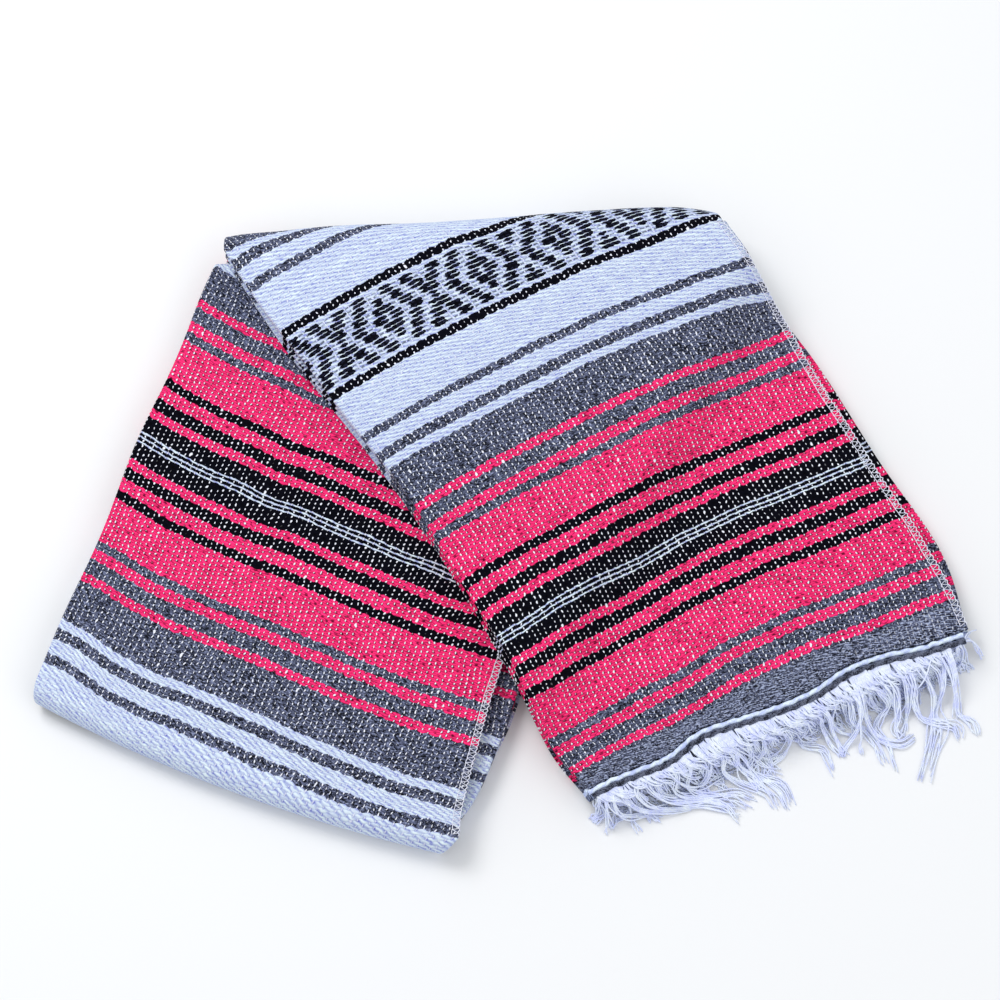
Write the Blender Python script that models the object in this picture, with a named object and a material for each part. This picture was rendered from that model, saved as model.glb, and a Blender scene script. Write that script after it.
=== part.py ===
"""A Mexican serape blanket, folded lengthwise to a narrow strip, doubled, and mitred over itself.

The strip lies flat on its underside. The lower stretch runs up from its rounded end fold to the
mitre, where the stack of plies rolls over and comes back down as the upper stretch, which crosses
the lower one, drops to the floor beside it and ends in a heading of two cords with its fringe.
All sizes are in metres, +Z is up and the origin is on the floor below the middle of the part.
"""
import bpy
import bmesh
import math
import random
from collections import namedtuple
from mathutils import Vector

MM = 0.001

# ---- driving sizes ---------------------------------------------------------------------------
PLY = 3.0 * MM                   # one thickness of the soft loose weave
PLIES = 8                        # folded in four across its width, then doubled along its length
STACK = PLY * PLIES
SEAM = 0.4 * MM                  # clearance between solids that touch
DATUM = Vector((-5.4, 13.1)) * MM   # moves the tables below so that the origin is in the middle

HEADING = 9.0 * MM               # the two heading cords together
HEM_GAP = 0.7 * MM               # clearance between the heading and the cloth
NOSE = STACK / 2                 # radius of the lower stretch's end fold
ROLL = STACK + SEAM / 2          # outer radius of the mitre fold, and the height of its axis
GROOVE = 3.0 * MM                # how deep the grooves between the plies go at the edges
EDGE_BAND = 14.0 * MM            # width of the band along each edge that holds the grooves
EDGE_WAVE = 1.2 * MM             # how far a ply's edge wanders in and out
EDGE_WAVE_LENGTH = 0.145
NOSE_INSET, NOSE_SIDE, NOSE_DEPTH = 0.45, 0.13, 0.22   # a lip's rounding, in its thicknesses
FOLD_SEARCH = (0.25, 0.60)       # the mitre lies between these distances along the strip
COVERED_FROM, COVERED_OVER = 0.23, 0.06   # where the lower stretch turns flat to carry the upper
# How far the roll bulges out along the fold, as a share of its radius, for its corners are tight,
# and how far it leans to the left half way round, mm.
Bulge = namedtuple("Bulge", "across share drift")
ROLL_BULGES = (
    Bulge(0, 0.78, 0), Bulge(0.04, 0.86, 0), Bulge(0.1, 0.9, 1), Bulge(0.22, 1.0, 4),
    Bulge(0.45, 0.93, 5), Bulge(0.75, 1.06, 5), Bulge(0.92, 1.0, 5), Bulge(1, 0.7, 5))

# Where the mitre fold's axis starts and ends, in millimetres from the datum.
FOLD_LEFT = Vector((-212, 198.5)) * MM + DATUM
FOLD_RIGHT = Vector((167, 222)) * MM + DATUM

# The upper stretch lies on the lower one as far as this line, its hidden right-hand edge, and
# then comes down to the floor within DRAPE.
UNDER_EDGE = Vector((0, -124)) * MM + DATUM
DRAPE_START = 26 * MM
DRAPE = 50 * MM

# Weft lines across each stretch: how far along the strip, and where its two ends lie, in mm.
# The last rows lie past the mitre fold and give the direction in which the strip runs into it.
Weft = namedtuple("Weft", "along left_x left_y right_x right_y")
UPPER_WEFTS = (
    Weft(0, 67, -231, 339, -111.5),
    Weft(60, 34, -189, 319.5, -49),
    Weft(147, -2.5, -121, 278, 32),
    Weft(200, -28.5, -74.5, 253, 80),
    Weft(268, -62.5, -19, 223, 141),
    Weft(335, -100.5, 37, 193, 191),
    Weft(444, -164.5, 123, 132, 290),
    Weft(522, -210, 194.5, 94, 355),
)
LOWER_WEFTS = (
    Weft(0, -343, -155, -49, -268.5),
    Weft(45, -326, -109, -33.5, -231.5),
    Weft(95, -309, -60, -16, -189),
    Weft(165, -287, 7.5, 0, -124),
    Weft(214, -271, 55.5, 21.4, -80),
    Weft(334, -232, 168, 73.7, 28),
    Weft(385, -216, 214, 96, 73.7),
    Weft(550, -166, 371, 168, 222),
)
UPPER_BOW = 7.5 * MM            # how far each weft line bows, towards the lower stretch's end fold
LOWER_BOW = 10.5 * MM

# How far the upper hem waves out past its straight line, mm.
Wave = namedtuple("Wave", "across out")
HEM_WAVES = (
    Wave(0.047, 2), Wave(0.1, 4), Wave(0.2, 7), Wave(0.3, 0.5), Wave(0.4, 3.5), Wave(0.5, 7),
    Wave(0.6, 6.5), Wave(0.7, 0.5), Wave(0.8, 0.5), Wave(0.9, 4), Wave(0.953, 4))

# Plies that show at an edge: which plies a lip holds, and how far it reaches past the edge, mm.
Lip = namedtuple("Lip", "first last reach")
LEFT_LIPS = (Lip(0, 2, 0), Lip(2, 4, -2.5), Lip(4, 6, -0.5), Lip(6, 8, -3))
RIGHT_LIPS = (Lip(0, 1, 0), Lip(1, 3, -4), Lip(3, 5, 3.5), Lip(5, 7, 0.5), Lip(7, 8, 3))
# The under plies have slipped out further on the right, by this much more, mm.
Slip = namedtuple("Slip", "along extra")
UPPER_SLIPS = (Slip(0, 5), Slip(60, 7.5), Slip(150, 6.5), Slip(230, 3), Slip(300, 0), Slip(600, 0))
LOWER_SLIPS = (
    Slip(0, -3), Slip(22, 3), Slip(45, 9), Slip(90, 10), Slip(125, 15), Slip(165, 18), Slip(260, 4),
    Slip(600, 0))
SLIPPED_PLY = 3

# Soft swells of the top surface: middle and half width in across (0 to 1) and along (mm), height.
Swell = namedtuple("Swell", "across along wide long height")
UPPER_SWELLS = (
    Swell(0.22, 95, 0.20, 60, 1.6),
    Swell(0.62, 170, 0.26, 70, -1.4),
    Swell(0.35, 300, 0.24, 85, 1.5),
    Swell(0.80, 265, 0.18, 60, 1.6),
    Swell(0.70, 40, 0.22, 35, 1.8),
)
LOWER_SWELLS = (
    Swell(0.30, 60, 0.22, 40, 1.6),
    Swell(0.72, 100, 0.20, 55, -1.3),
    Swell(0.25, 210, 0.18, 60, 1.5),
)

# ---- the fringe ------------------------------------------------------------------------------
# How the fringe lies along the hem: how far it leans to the right, degrees, and its length, mm.
Lay = namedtuple("Lay", "across lean length")
FRINGE_LAY = (
    Lay(0.0, -10, 28),
    Lay(0.06, 18, 34),
    Lay(0.15, 44, 54),
    Lay(0.3, 48, 72),
    Lay(0.42, 40, 72),
    Lay(0.52, 32, 56),
    Lay(0.65, 21, 56),
    Lay(0.8, 8, 66),
    Lay(0.9, -1, 74),
    Lay(1.0, -8, 62),
)
UPPER_LOCKS = 66
LOWER_LOCKS = 48
LOWER_LOCK_SHARE = 0.62          # the under fringe's locks are this much of the upper ones' length
LOCK_SEGMENTS = 3
LOCK_ROOT = 2.2 * MM             # a lock's thickness at its root and at its tip
LOCK_TIP = 1.2 * MM
LOCK_INSET = 0.5 * MM            # how far a lock's root keeps in from its cell of the heading
LOCK_FLOOR = 1.7 * MM            # height at which a lock's middle comes to rest
LOCK_DROOP = 1.7                 # how soon a lock comes down: 1 is a straight slope
STRIP_INSET = 0.004              # how far a heading's ends keep in from the edges, as a share
LENGTH_SPREAD = 0.14
SEED = 7

# ---- mesh steps ------------------------------------------------------------------------------
COLUMNS = 10
UPPER_ROWS = 22
LOWER_ROWS = 20
ROLL_STEPS = 8
NOSE_ANGLES = (84, 68, 50, 32, 15)
WELD = 0.002 * MM

PINK = (0.72, 0.07, 0.16)
YARN_WHITE = (0.75, 0.79, 0.95)


def smoothstep(x):
    x = min(max(x, 0.0), 1.0)
    return x * x * (3 - 2 * x)


def spline(rows, at):
    """The values of a table of rows at one place, by a smooth curve through all of them."""
    keys = [row[0] for row in rows]
    last = len(rows) - 2
    i = max(k for k in range(last + 1) if k == 0 or keys[k] <= at)
    span = keys[i + 1] - keys[i]
    t = (at - keys[i]) / span
    values = []
    for column in range(1, len(rows[0])):
        def slope(k):
            a, b = max(k - 1, 0), min(k + 1, len(rows) - 1)
            return (rows[b][column] - rows[a][column]) / (keys[b] - keys[a])
        p, q = rows[i][column], rows[i + 1][column]
        if not 0 <= t <= 1:
            values.append(p + (q - p) * t)
            continue
        h = t * t * (3 - 2 * t)
        curve = p + (q - p) * h
        curve += span * (slope(i) * t * (1 - t) ** 2 - slope(i + 1) * t * t * (1 - t))
        values.append(curve)
    return values


class Stretch:
    """One visible stretch of the strip: its weft lines, its edges and its way into the fold."""

    def __init__(self, wefts, bow, swells, extra_reach):
        self.wefts = wefts
        self.bow = bow
        self.swells = swells
        self.extra_reach = extra_reach

    def ends(self, along):
        x0, y0, x1, y1 = spline(self.wefts, along / MM)
        return Vector((x0, y0)) * MM + DATUM, Vector((x1, y1)) * MM + DATUM

    def plan(self, across, along):
        left, right = self.ends(along)
        weft = right - left
        lengthwise = Vector((-weft.y, weft.x)).normalized()
        return left.lerp(right, across) + lengthwise * self.bow * 4 * across * (1 - across)

    def meets_fold(self, across, short_of=0.0):
        """How far along this warp line the strip reaches the mitre fold's axis."""
        low, high = FOLD_SEARCH
        for _ in range(40):
            middle = (low + high) / 2
            if past_fold(self.plan(across, middle)) < -short_of:
                low = middle
            else:
                high = middle
        return low

    def swell(self, across, along):
        height = 0.0
        for row in self.swells:
            distance = ((across - row.across) / row.wide) ** 2 + ((along / MM - row.along) / row.long) ** 2
            height += row.height * MM * math.exp(-distance)
        return height

    def lips(self, lips, side, along):
        """The edge's outline from top to bottom: (reach past the edge, depth below the top)."""
        outline = []
        for number, lip in enumerate(lips):
            thickness = (lip.last - lip.first) * PLY
            top = lip.first * PLY
            wave = EDGE_WAVE * math.sin(along / EDGE_WAVE_LENGTH * math.tau + 1.9 * number + side)
            reach = lip.reach * MM + wave
            if side > 0 and lip.first >= SLIPPED_PLY:
                reach += spline(self.extra_reach, along / MM)[0] * MM
            outline.append((top, thickness, reach))
        points = [(outline[0][2] - NOSE_INSET * outline[0][1], 0.0)]
        for number, (top, thickness, reach) in enumerate(outline):
            for inset, share in ((NOSE_SIDE, NOSE_DEPTH), (0.0, 0.5), (NOSE_SIDE, 1 - NOSE_DEPTH)):
                points.append((reach - inset * thickness, top + share * thickness))
            if number + 1 < len(outline):
                below = outline[number + 1]
                root = min(reach - NOSE_INSET * thickness, below[2] - NOSE_INSET * below[1])
                points.append((root - GROOVE, top + thickness))
        points.append((outline[-1][2] - NOSE_INSET * outline[-1][1], STACK))
        return points


def fold_direction():
    return (FOLD_RIGHT - FOLD_LEFT).normalized()


def fold_normal():
    direction = fold_direction()
    return Vector((-direction.y, direction.x))


def past_fold(point):
    """How far a point in plan lies past the mitre fold's axis; negative on the arms' side."""
    return (point - FOLD_LEFT).dot(fold_normal())


def drop(point):
    """How far the upper stretch's underside is down from the lower one's top, 0 to 1."""
    line = (FOLD_RIGHT - UNDER_EDGE).normalized()
    outward = Vector((line.y, -line.x))
    return smoothstep(((point - UNDER_EDGE).dot(outward) - DRAPE_START) / DRAPE)


UPPER = Stretch(UPPER_WEFTS, UPPER_BOW, UPPER_SWELLS, UPPER_SLIPS)
LOWER = Stretch(LOWER_WEFTS, -LOWER_BOW, LOWER_SWELLS, LOWER_SLIPS)


def outward(stretch, side, along, near_fold):
    """The way out of the strip at an edge, turning in line with the fold as it is reached."""
    left, right = stretch.ends(along)
    weft = right - left
    lengthwise = Vector((-weft.y, weft.x)).normalized()
    bowed = (weft - lengthwise * 4 * stretch.bow * side).normalized()
    return bowed.lerp(fold_direction(), near_fold ** 4).normalized() * side


def hem_wave(across):
    """How far the hem stands out, straight between the rows, as the solid's faces are."""
    if across <= HEM_WAVES[0].across:
        return HEM_WAVES[0].out * MM
    for here, there in zip(HEM_WAVES, HEM_WAVES[1:]):
        if across <= there.across:
            share = (across - here.across) / (there.across - here.across)
            return (here.out + (there.out - here.out) * share) * MM
    return HEM_WAVES[-1].out * MM


def upper_point(across, share, out, depth):
    """A point of the upper stretch between its heading (share 0) and the fold's axis (share 1)."""
    start, end = HEADING - hem_wave(across), UPPER.meets_fold(across)
    along = start + (end - start) * share
    plan = UPPER.plan(across, along)
    if out:
        side = 1 if across > 0.5 else -1
        plan = plan + outward(UPPER, side, along, share) * out
    rise = (STACK + SEAM) * (1 - drop(plan))
    swell = UPPER.swell(across, along) * (1 - share ** 8)
    inner = 1 - depth / STACK
    height = rise + STACK - depth + swell * inner
    if share == 1:
        height = ROLL + ROLL * inner
    return Vector((plan.x, plan.y, height))


def roll_point(across, angle, out, depth):
    """A point of the upper stretch where it rolls over the fold; the axis is its inner edge."""
    foot = UPPER.plan(across, UPPER.meets_fold(across))
    side = 1 if across > 0.5 else -1
    inner = 1 - depth / STACK
    radius = ROLL * inner
    bulge, drift = spline(ROLL_BULGES, across)
    plan = foot + fold_normal() * radius * bulge * math.sin(angle)
    plan = plan + fold_direction() * (side * out - drift * MM * math.sin(angle) * inner)
    return Vector((plan.x, plan.y, ROLL + radius * math.cos(angle)))


def lower_point(across, share, out, depth):
    """A point of the lower stretch between its end fold's axis (share 0) and the mitre (1)."""
    end = LOWER.meets_fold(across, SEAM)
    along = NOSE + (end - NOSE) * share
    plan = LOWER.plan(across, along)
    if out:
        side = 1 if across > 0.5 else -1
        plan = plan + outward(LOWER, side, along, share) * out
    if share == 1:
        plan = plan - fold_normal() * (past_fold(plan) + SEAM)
    covered = smoothstep((along - COVERED_FROM) / COVERED_OVER)
    height = STACK - depth + LOWER.swell(across, along) * (1 - depth / STACK) * (1 - covered)
    return Vector((plan.x, plan.y, height))


def nose_point(across, angle, out, depth):
    """A point of the lower stretch's rounded end fold, angle 0 at its axis."""
    along = NOSE * (1 - math.sin(angle))
    plan = LOWER.plan(across, along)
    if out:
        side = 1 if across > 0.5 else -1
        plan = plan + outward(LOWER, side, along, 0) * out
    top_swell = LOWER.swell(across, NOSE) * (1 - depth / STACK)
    height = NOSE + (NOSE - depth + top_swell) * math.cos(angle)
    return Vector((plan.x, plan.y, height))


def ring(point, at, stretch, along_left, along_right):
    """One section of a stretch: top, right edge, underside and left edge, seen from the hem."""
    left = stretch.lips(LEFT_LIPS, -1, along_left)
    right = stretch.lips(RIGHT_LIPS, 1, along_right)
    middle = [(column / COLUMNS, 0.0) for column in range(1, COLUMNS)]
    bands = [(0.0, -EDGE_BAND)] + middle + [(1.0, -EDGE_BAND)]
    above = [(0.0, left[0][0])] + bands + [(1.0, right[0][0])]
    below = [(0.0, left[-1][0])] + bands + [(1.0, right[-1][0])]
    top = [point(across, at, out, 0.0) for across, out in above]
    bottom = [point(across, at, out, STACK) for across, out in below]
    right_side = [point(1.0, at, out, depth) for out, depth in right[1:-1]]
    left_side = [point(0.0, at, out, depth) for out, depth in left[1:-1]]
    return top, right_side, bottom, left_side


def loft(name, rings, colour):
    """A closed solid through the rings, its two ends filled between top and underside."""
    mesh = bmesh.new()
    loops = []
    for top, right, bottom, left in rings:
        order = top + right + bottom[::-1] + left[::-1]
        loops.append([mesh.verts.new(p) for p in order])
    count = len(loops[0])
    for here, there in zip(loops, loops[1:]):
        for k in range(count):
            n = (k + 1) % count
            mesh.faces.new((here[k], here[n], there[n], there[k]))
    width = len(rings[0][0])
    right_count = len(rings[0][1])
    for loop in (loops[0], loops[-1]):
        top = loop[:width]
        right = loop[width:width + right_count]
        bottom = loop[width + right_count:2 * width + right_count][::-1]
        left = loop[2 * width + right_count:]
        for k in range(1, width - 2):
            mesh.faces.new((top[k], top[k + 1], bottom[k + 1], bottom[k]))
        mesh.faces.new([top[-2], top[-1]] + right + [bottom[-1], bottom[-2]])
        mesh.faces.new([bottom[1], bottom[0]] + left + [top[0], top[1]])
    return finish(name, mesh, colour)


def finish(name, mesh, colour):
    bmesh.ops.remove_doubles(mesh, verts=mesh.verts, dist=WELD)
    bmesh.ops.dissolve_degenerate(mesh, edges=mesh.edges, dist=WELD)
    bmesh.ops.triangulate(mesh, faces=[f for f in mesh.faces if len(f.verts) > 3])
    bmesh.ops.recalc_face_normals(mesh, faces=mesh.faces)
    data = bpy.data.meshes.new(name)
    mesh.to_mesh(data)
    mesh.free()
    piece = bpy.data.objects.new(name, data)
    data.materials.append(material(name, colour))
    collection().objects.link(piece)
    return piece


def collection():
    found = bpy.data.collections.get("folded_serape")
    if found is None:
        found = bpy.data.collections.new("folded_serape")
        bpy.context.scene.collection.children.link(found)
    return found


def material(name, colour):
    made = bpy.data.materials.new(name)
    made.use_nodes = True
    shader = made.node_tree.nodes["Principled BSDF"]
    shader.inputs["Base Color"].default_value = (*colour, 1.0)
    shader.inputs["Roughness"].default_value = 0.95
    shader.inputs["Metallic"].default_value = 0.0
    return made


def upper_stretch():
    left_start, right_start = HEADING - hem_wave(0.0), HEADING - hem_wave(1.0)
    left_end, right_end = UPPER.meets_fold(0.0), UPPER.meets_fold(1.0)
    rings = []
    for row in range(UPPER_ROWS + 1):
        share = row / UPPER_ROWS
        along_left = left_start + (left_end - left_start) * share
        along_right = right_start + (right_end - right_start) * share
        rings.append(ring(upper_point, share, UPPER, along_left, along_right))
    for step in range(1, ROLL_STEPS + 1):
        angle = math.pi * step / ROLL_STEPS
        rings.append(ring(roll_point, angle, UPPER, left_end, right_end))
    return loft("upper_stretch", rings, PINK)


def lower_stretch():
    left_end = LOWER.meets_fold(0.0, SEAM)
    right_end = LOWER.meets_fold(1.0, SEAM)
    rings = []
    for degrees in NOSE_ANGLES:
        angle = math.radians(degrees)
        along = NOSE * (1 - math.sin(angle))
        rings.append(ring(nose_point, angle, LOWER, along, along))
    for row in range(LOWER_ROWS + 1):
        share = row / LOWER_ROWS
        along_left = NOSE + (left_end - NOSE) * share
        along_right = NOSE + (right_end - NOSE) * share
        rings.append(ring(lower_point, share, LOWER, along_left, along_right))
    return loft("lower_stretch", rings, PINK)


def hem_point(across, along, depth):
    """A point of the heading, which carries on the upper stretch's plane past its last weft."""
    along = along - hem_wave(across)
    plan = UPPER.plan(across, along)
    return Vector((plan.x, plan.y, STACK - depth + UPPER.swell(across, along) * (1 - depth / STACK)))


def heading_strip(section, cells, front_row):
    """A strip along the hem through a section of (along, depth); returns it and its cells."""
    mesh = bmesh.new()
    rings = []
    for column in range(cells + 1):
        across = STRIP_INSET + (1 - 2 * STRIP_INSET) * column / cells
        rings.append([mesh.verts.new(hem_point(across, along, depth)) for along, depth in section])
    cell_faces = []
    count = len(section)
    for here, there in zip(rings, rings[1:]):
        for k in range(count):
            n = (k + 1) % count
            face = mesh.faces.new((here[k], here[n], there[n], there[k]))
            if k == front_row:
                cell_faces.append(face)
    mesh.faces.new(rings[0])
    mesh.faces.new(rings[-1])
    bmesh.ops.recalc_face_normals(mesh, faces=mesh.faces)
    return mesh, cell_faces


def grow_lock(mesh, face, across, length, lean):
    """One lock of fringe, drawn out of its cell of the heading and laid down to the floor."""
    left, right = UPPER.ends(0.0)
    weft = (right - left).normalized()
    away = Vector((weft.y, -weft.x))
    way = away * math.cos(lean) + weft * math.sin(lean)
    side = Vector((-way.y, way.x, 0.0))
    bmesh.ops.inset_individual(mesh, faces=[face], thickness=LOCK_INSET, use_even_offset=True)
    root = face.calc_center_median()
    before = root
    for step in range(1, LOCK_SEGMENTS + 1):
        share = step / LOCK_SEGMENTS
        height = LOCK_FLOOR + (root.z - LOCK_FLOOR) * (1 - share) ** LOCK_DROOP
        centre = Vector((root.x + way.x * length * share, root.y + way.y * length * share, height))
        run = (centre - before).normalized()
        upward = run.cross(side).normalized()
        half = (LOCK_ROOT + (LOCK_TIP - LOCK_ROOT) * share) / 2
        face = bmesh.ops.extrude_discrete_faces(mesh, faces=[face])["faces"][0]
        old_centre = face.calc_center_median()
        corners = sorted(face.verts, key=lambda v: (v.co - old_centre).dot(side))
        for pair, sideways in ((corners[:2], -half), (corners[2:], half)):
            low, high = sorted(pair, key=lambda v: v.co.z)
            low.co = centre + side * sideways - upward * half
            high.co = centre + side * sideways + upward * half
        before = centre


def fringe(name, section, front_row, cells, length_share, seed):
    """A heading with its row of locks, all one body."""
    chance = random.Random(seed)
    mesh, cell_faces = heading_strip(section, cells, front_row)
    for number, face in enumerate(cell_faces):
        across = (number + 0.5) / cells
        lean, length = spline(FRINGE_LAY, across)
        length *= MM * length_share * (1 + LENGTH_SPREAD * chance.uniform(-1, 1))
        grow_lock(mesh, face, across, length, math.radians(lean))
    return finish(name, mesh, YARN_WHITE)


def upper_fringe():
    """The top four plies' heading: a white and a grey cord raised on it, and its locks."""
    back, front = HEADING - HEM_GAP, 0.0
    half = PLIES / 2 * PLY
    cord_1, valley, cord_2 = 6.6 * MM, 4.5 * MM, 2.3 * MM
    section = (
        (back, 1.0 * MM), (cord_1, -0.5 * MM), (valley, 1.0 * MM), (cord_2, -0.5 * MM),
        (front, 2.0 * MM), (front, 6.0 * MM), (1.5 * MM, half - SEAM), (back, half - SEAM),
    )
    return fringe("upper_fringe", section, 4, UPPER_LOCKS, 1.0, SEED)


def lower_fringe():
    """The under four plies' heading, below the upper one and just behind it, and its locks."""
    back, front = HEADING - HEM_GAP, 2.0 * MM
    half = PLIES / 2 * PLY
    section = (
        (back, half), (front, half + 1.0 * MM), (front, half + 6.0 * MM), (front, STACK - 1.0 * MM),
        (back, STACK),
    )
    return fringe("lower_fringe", section, 1, LOWER_LOCKS, LOWER_LOCK_SHARE, SEED + 1)


def main():
    for old in list(bpy.data.objects):
        bpy.data.objects.remove(old, do_unlink=True)
    upper_stretch()
    lower_stretch()
    upper_fringe()
    lower_fringe()


main()
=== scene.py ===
"""The looks of a folded serape: woven plies with folded and overlocked edges, heading and fringe.

The stripes are laid out once, as they are on the loom, in the cloth's own measure: u runs along
the weft and v along the warp, both in metres, and v is 0 on the white line of the black band.
"""
import math
import random
from collections import namedtuple
from functools import lru_cache

import bmesh
import bpy
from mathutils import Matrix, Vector, noise


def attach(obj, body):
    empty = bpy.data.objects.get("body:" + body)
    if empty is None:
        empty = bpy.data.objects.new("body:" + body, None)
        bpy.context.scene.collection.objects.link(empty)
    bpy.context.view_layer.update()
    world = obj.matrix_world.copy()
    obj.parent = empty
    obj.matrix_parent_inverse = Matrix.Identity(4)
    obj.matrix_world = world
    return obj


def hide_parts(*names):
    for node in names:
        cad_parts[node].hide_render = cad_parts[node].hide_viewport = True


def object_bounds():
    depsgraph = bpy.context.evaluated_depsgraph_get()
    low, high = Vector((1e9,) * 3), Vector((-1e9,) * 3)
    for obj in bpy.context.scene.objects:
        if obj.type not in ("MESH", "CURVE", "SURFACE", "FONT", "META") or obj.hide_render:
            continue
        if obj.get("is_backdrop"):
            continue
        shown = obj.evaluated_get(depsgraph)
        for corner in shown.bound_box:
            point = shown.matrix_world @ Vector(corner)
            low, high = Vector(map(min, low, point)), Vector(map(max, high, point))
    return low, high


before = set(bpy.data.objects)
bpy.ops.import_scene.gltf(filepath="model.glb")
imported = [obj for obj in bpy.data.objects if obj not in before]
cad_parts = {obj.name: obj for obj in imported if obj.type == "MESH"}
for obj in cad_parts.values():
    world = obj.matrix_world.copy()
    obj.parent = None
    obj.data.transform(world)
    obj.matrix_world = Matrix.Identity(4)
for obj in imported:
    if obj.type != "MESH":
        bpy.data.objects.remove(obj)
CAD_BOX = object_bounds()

MM = 0.001

# ---- the folded strip: the CAD solids' own sizes ----
PLY = 3.0 * MM  # one thickness of the soft loose weave
PLIES = 8  # folded in four across its width, then doubled along its length
STACK = PLY * PLIES
SEAM = 0.4 * MM  # what keeps the solids apart where they meet
DATUM = Vector((-5.4, 13.1)) * MM  # from the measured places' origin to the frame's
HEADING = 9.0 * MM  # from the hem's straight line to the cloth's first weft
NOSE = STACK / 2  # the radius of the lower stretch's end fold
ROLL = STACK + SEAM / 2  # the radius of the mitre fold's roll
EDGE_WAVE = 1.2 * MM  # how far each lip waves in and out, and how long a wave is
EDGE_WAVE_LENGTH = 0.145
FOLD_SEARCH = (0.25, 0.60)  # the mitre fold crosses every warp line between these places
COVERED_FROM, COVERED_OVER = 0.23, 0.06  # where the lower stretch goes flat under the upper
# The mitre's roll: its reach as a share of its radius, and how far it drifts left, millimetres.
Bulge = namedtuple("Bulge", "across share drift")
ROLL_BULGES = (
    Bulge(0, 0.78, 0), Bulge(0.04, 0.86, 0), Bulge(0.1, 0.9, 1), Bulge(0.22, 1.0, 4),
    Bulge(0.45, 0.93, 5), Bulge(0.75, 1.06, 5), Bulge(0.92, 1.0, 5), Bulge(1, 0.7, 5))
FOLD_LEFT = Vector((-212, 198.5)) * MM + DATUM  # the mitre fold's axis, from left to right
FOLD_RIGHT = Vector((167, 222)) * MM + DATUM
UNDER_EDGE = Vector((0, -124)) * MM + DATUM  # where the lower stretch's right edge goes under
DRAPE_START = 26 * MM  # past that edge the upper stretch starts to drop, over this width
DRAPE = 50 * MM

# The weft lines' two ends, at places along each stretch, millimetres.
Weft = namedtuple("Weft", "along left_x left_y right_x right_y")
UPPER_WEFTS = (
    Weft(0, 67, -231, 339, -111.5),
    Weft(60, 34, -189, 319.5, -49),
    Weft(147, -2.5, -121, 278, 32),
    Weft(200, -28.5, -74.5, 253, 80),
    Weft(268, -62.5, -19, 223, 141),
    Weft(335, -100.5, 37, 193, 191),
    Weft(444, -164.5, 123, 132, 290),
    Weft(522, -210, 194.5, 94, 355),
)
LOWER_WEFTS = (
    Weft(0, -343, -155, -49, -268.5),
    Weft(45, -326, -109, -33.5, -231.5),
    Weft(95, -309, -60, -16, -189),
    Weft(165, -287, 7.5, 0, -124),
    Weft(214, -271, 55.5, 21.4, -80),
    Weft(334, -232, 168, 73.7, 28),
    Weft(385, -216, 214, 96, 73.7),
    Weft(550, -166, 371, 168, 222),
)
UPPER_BOW = 7.5 * MM  # how far the weft lines' middles bow from straight
LOWER_BOW = 10.5 * MM

# The lips along an edge: the plies each one lies between, and how far it reaches out.
Lip = namedtuple("Lip", "first last reach")
LEFT_LIPS = (Lip(0, 2, 0), Lip(2, 4, -2.5), Lip(4, 6, -0.5), Lip(6, 8, -3))
RIGHT_LIPS = (Lip(0, 1, 0), Lip(1, 3, -4), Lip(3, 5, 3.5), Lip(5, 7, 0.5), Lip(7, 8, 3))
LIPS = {-1: LEFT_LIPS, 1: RIGHT_LIPS}
# How much further the plies from the slipped one down reach out at the right edge.
Slip = namedtuple("Slip", "along extra")
SLIPPED_PLY = 3
UPPER_SLIPS = (Slip(0, 5), Slip(60, 7.5), Slip(150, 6.5), Slip(230, 3), Slip(300, 0), Slip(600, 0))
LOWER_SLIPS = (
    Slip(0, -3), Slip(22, 3), Slip(45, 9), Slip(90, 10), Slip(125, 15), Slip(165, 18), Slip(260, 4),
    Slip(600, 0))
# How much further the top ply of each stretch reaches out at its right edge.
TOP_SLIPS = (
    Slip(0, 5.5), Slip(25, 4.5), Slip(60, 2.5), Slip(90, 3), Slip(125, 0.5), Slip(160, -0.5),
    Slip(230, 0), Slip(600, 0))
LOWER_TOP_SLIPS = (
    Slip(0, 15), Slip(14, 14), Slip(33, 9.5), Slip(54, 7), Slip(89, 3), Slip(124, 1.5), Slip(161, 3),
    Slip(200, 1), Slip(260, 0), Slip(600, 0))


# Soft swells of the stack, each with its middle, its size and its height in millimetres.
Swell = namedtuple("Swell", "across along wide long height")
UPPER_SWELLS = (
    Swell(0.22, 95, 0.20, 60, 1.6),
    Swell(0.62, 170, 0.26, 70, -1.4),
    Swell(0.35, 300, 0.24, 85, 1.5),
    Swell(0.80, 265, 0.18, 60, 1.6),
    Swell(0.70, 40, 0.22, 35, 1.8),
)
LOWER_SWELLS = (
    Swell(0.30, 60, 0.22, 40, 1.6),
    Swell(0.72, 100, 0.20, 55, -1.3),
    Swell(0.25, 210, 0.18, 60, 1.5),
)

# ---- the cloth ----
STRIP_WIDTH = 0.312  # one fold of the blanket, from selvage or fold to fold
CLOTH = 2.5 * MM  # the woven cloth itself, a little less than a ply's room
CELL = 2.5 * MM  # size of the mesh's cells
FOLD_STEPS = 8  # cells round a fold
TUCK = 22 * MM  # how far an edge's plies are followed into the stack
TUCK_CELLS = round(TUCK / (2 * CELL))
SELVAGE_CURL = ((0, 1.0), (0.8, 0.3), (1.8, 0))  # in from the cut edge, and down, millimetres
UPPER_LINE = 0.147  # the white line's place along each stretch
LOWER_LINE = 0.214
RUMPLE = 0.55 * MM  # slight unevenness of the cloth, and its size
RUMPLE_SIZE = 0.028
RUMPLE_RISE = 8 * MM  # above the floor it grows to its full height over this
UPPER_LAG = -0.012  # how far the right under plies' stripes lie off the top one's
LOWER_LAG = -0.048
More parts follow.
